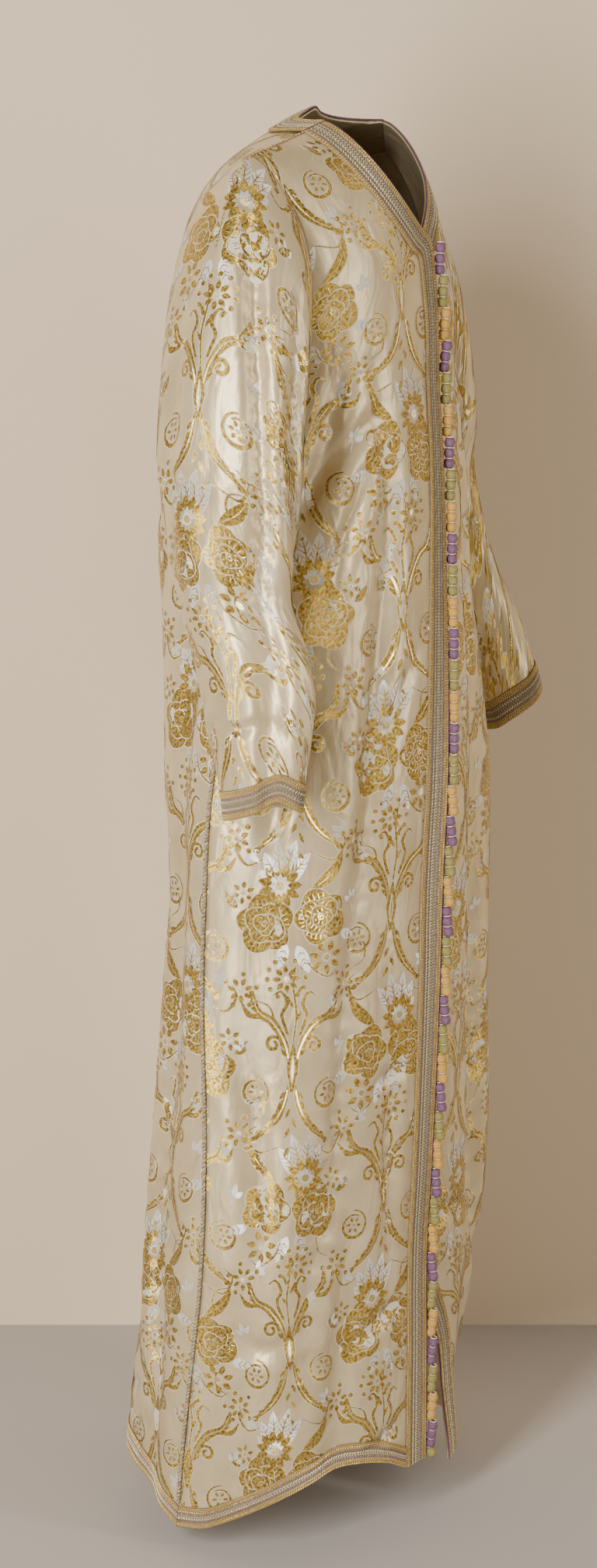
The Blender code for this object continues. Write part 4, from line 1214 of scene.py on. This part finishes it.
for colour, material in (("purple", "purple_silk"), ("green", "green_silk"), ("gold", "yellow_silk")):
    verts, faces, flat = [], [], []
    for number, (centre, axis, pitch, node) in enumerate(by_colour[colour]):
        start = number * len(BALL)
        size = (KNOT_RADIUS * 0.98, KNOT_RADIUS * 0.98, pitch * 0.450)
        spin = number * 1.1
        cos, sin = math.cos(spin), math.sin(spin)
        turned = BALL @ np.array([[cos, sin, 0], [-sin, cos, 0], [0, 0, 1]])
        verts.append(centre + (turned * size) @ frame_on(axis))
        faces += [tuple(start + v for v in face) for face in BALL_FACES]
        around = np.arctan2(turned[:, 1], turned[:, 0]) * KNOT_RADIUS
        flat.append(np.stack([around, turned[:, 2] * pitch / 2 + 0.011 * number], axis=1))
    verts, flat = np.concatenate(verts), np.concatenate(flat)
    piece = finish_mesh(f"silk_knots_{colour}", verts, faces, flat, [material])
    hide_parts(*sorted({node for _, _, _, node in by_colour[colour]}))
    print(piece.name, len(by_colour[colour]), "knots", len(piece.data.polygons), "faces")

rings, loops = [], []
every = [(centre, axis) for knots in by_colour.values() for centre, axis, _, _ in knots]
for centre, axis in sorted(every, key=lambda knot: -knot[0][2]):
    side, ahead, _ = frame_on(axis)
    right = np.array((1.0, 0.0, 0.0))
    turn = np.linspace(0, 2 * math.pi, 11)[:, None]
    waist = centre + axis * KNOT_PITCH / 2
    rings.append(tube(waist + 0.0031 * (np.cos(turn) * side + np.sin(turn) * ahead), np.full(11, 0.00062), 5))
    start = centre + (0.0036, 0.0022, 0.0)
    bow = [start + axis * 0.0026, start + right * 0.0040 + axis * 0.0030, start + right * 0.0058,
           start + right * 0.0040 - axis * 0.0030, start - axis * 0.0026]
    bow = finer(np.array(bow)[:, None], 2, 0)[:, 0]
    loops.append(tube(bow, np.full(len(bow), 0.0007), 5))
tubes("knot_threads", rings, ["cream"])
tubes("button_loops", loops, ["cord_gold"])
print("loops", len(loops))

# %% [markdown]
# ## Shoulder stitching
# A dotted line of stitches follows each shoulder seam from the neck braid over the top of the arm.

# %% Stitches on the shoulder
for which in ("right", "left"):
    front, sleeve = CLOTH["front_" + which], CLOTH["sleeve_" + which]
    line = [front["points"][-1, BESIDE] + front["guide"][-1, BESIDE] * 0.0008]
    top = int(np.argmax(sleeve["points"][0, :, 2]))
    line.append((sleeve["points"][2 : 3 * FINE_ROWS, top] + sleeve["guide"][2 : 3 * FINE_ROWS, top] * 0.0008))
    line = evenly_spaced(np.concatenate(line), 0.0044)
    dots = []
    for a, b in zip(line, line[1:]):
        dash = np.linspace(a, a + (b - a) * 0.66, 4)
        dots.append(tube(dash, np.array([0.0004, 0.0010, 0.0010, 0.0004]), 5))
    piece = tubes("shoulder_stitches_" + which, dots, ["cord_gold"])
    print(piece.name, len(dots), "stitches")

# %% [markdown]
# ## The cut of the cloth
# The kaftan's pieces are declared as sheets, with the sizes they were cut to. Each is a trapezoid: wide at the hem
# or the armhole, narrow at the neck or cuff.

# %% Sheets
CUTS = {  # widest, narrowest and length in metres; a sleeve's widths are all round
    "front_right": (0.32, 0.18, 1.48), "front_left": (0.31, 0.21, 1.50), "back": (0.63, 0.40, 1.53),
    "sleeve_right": (0.42, 0.21, 0.64), "sleeve_left": (0.42, 0.21, 0.64),
}
for node, piece in SHELLS.items():
    widest, narrowest, length = CUTS[node]
    side = node.split("_")[-1]
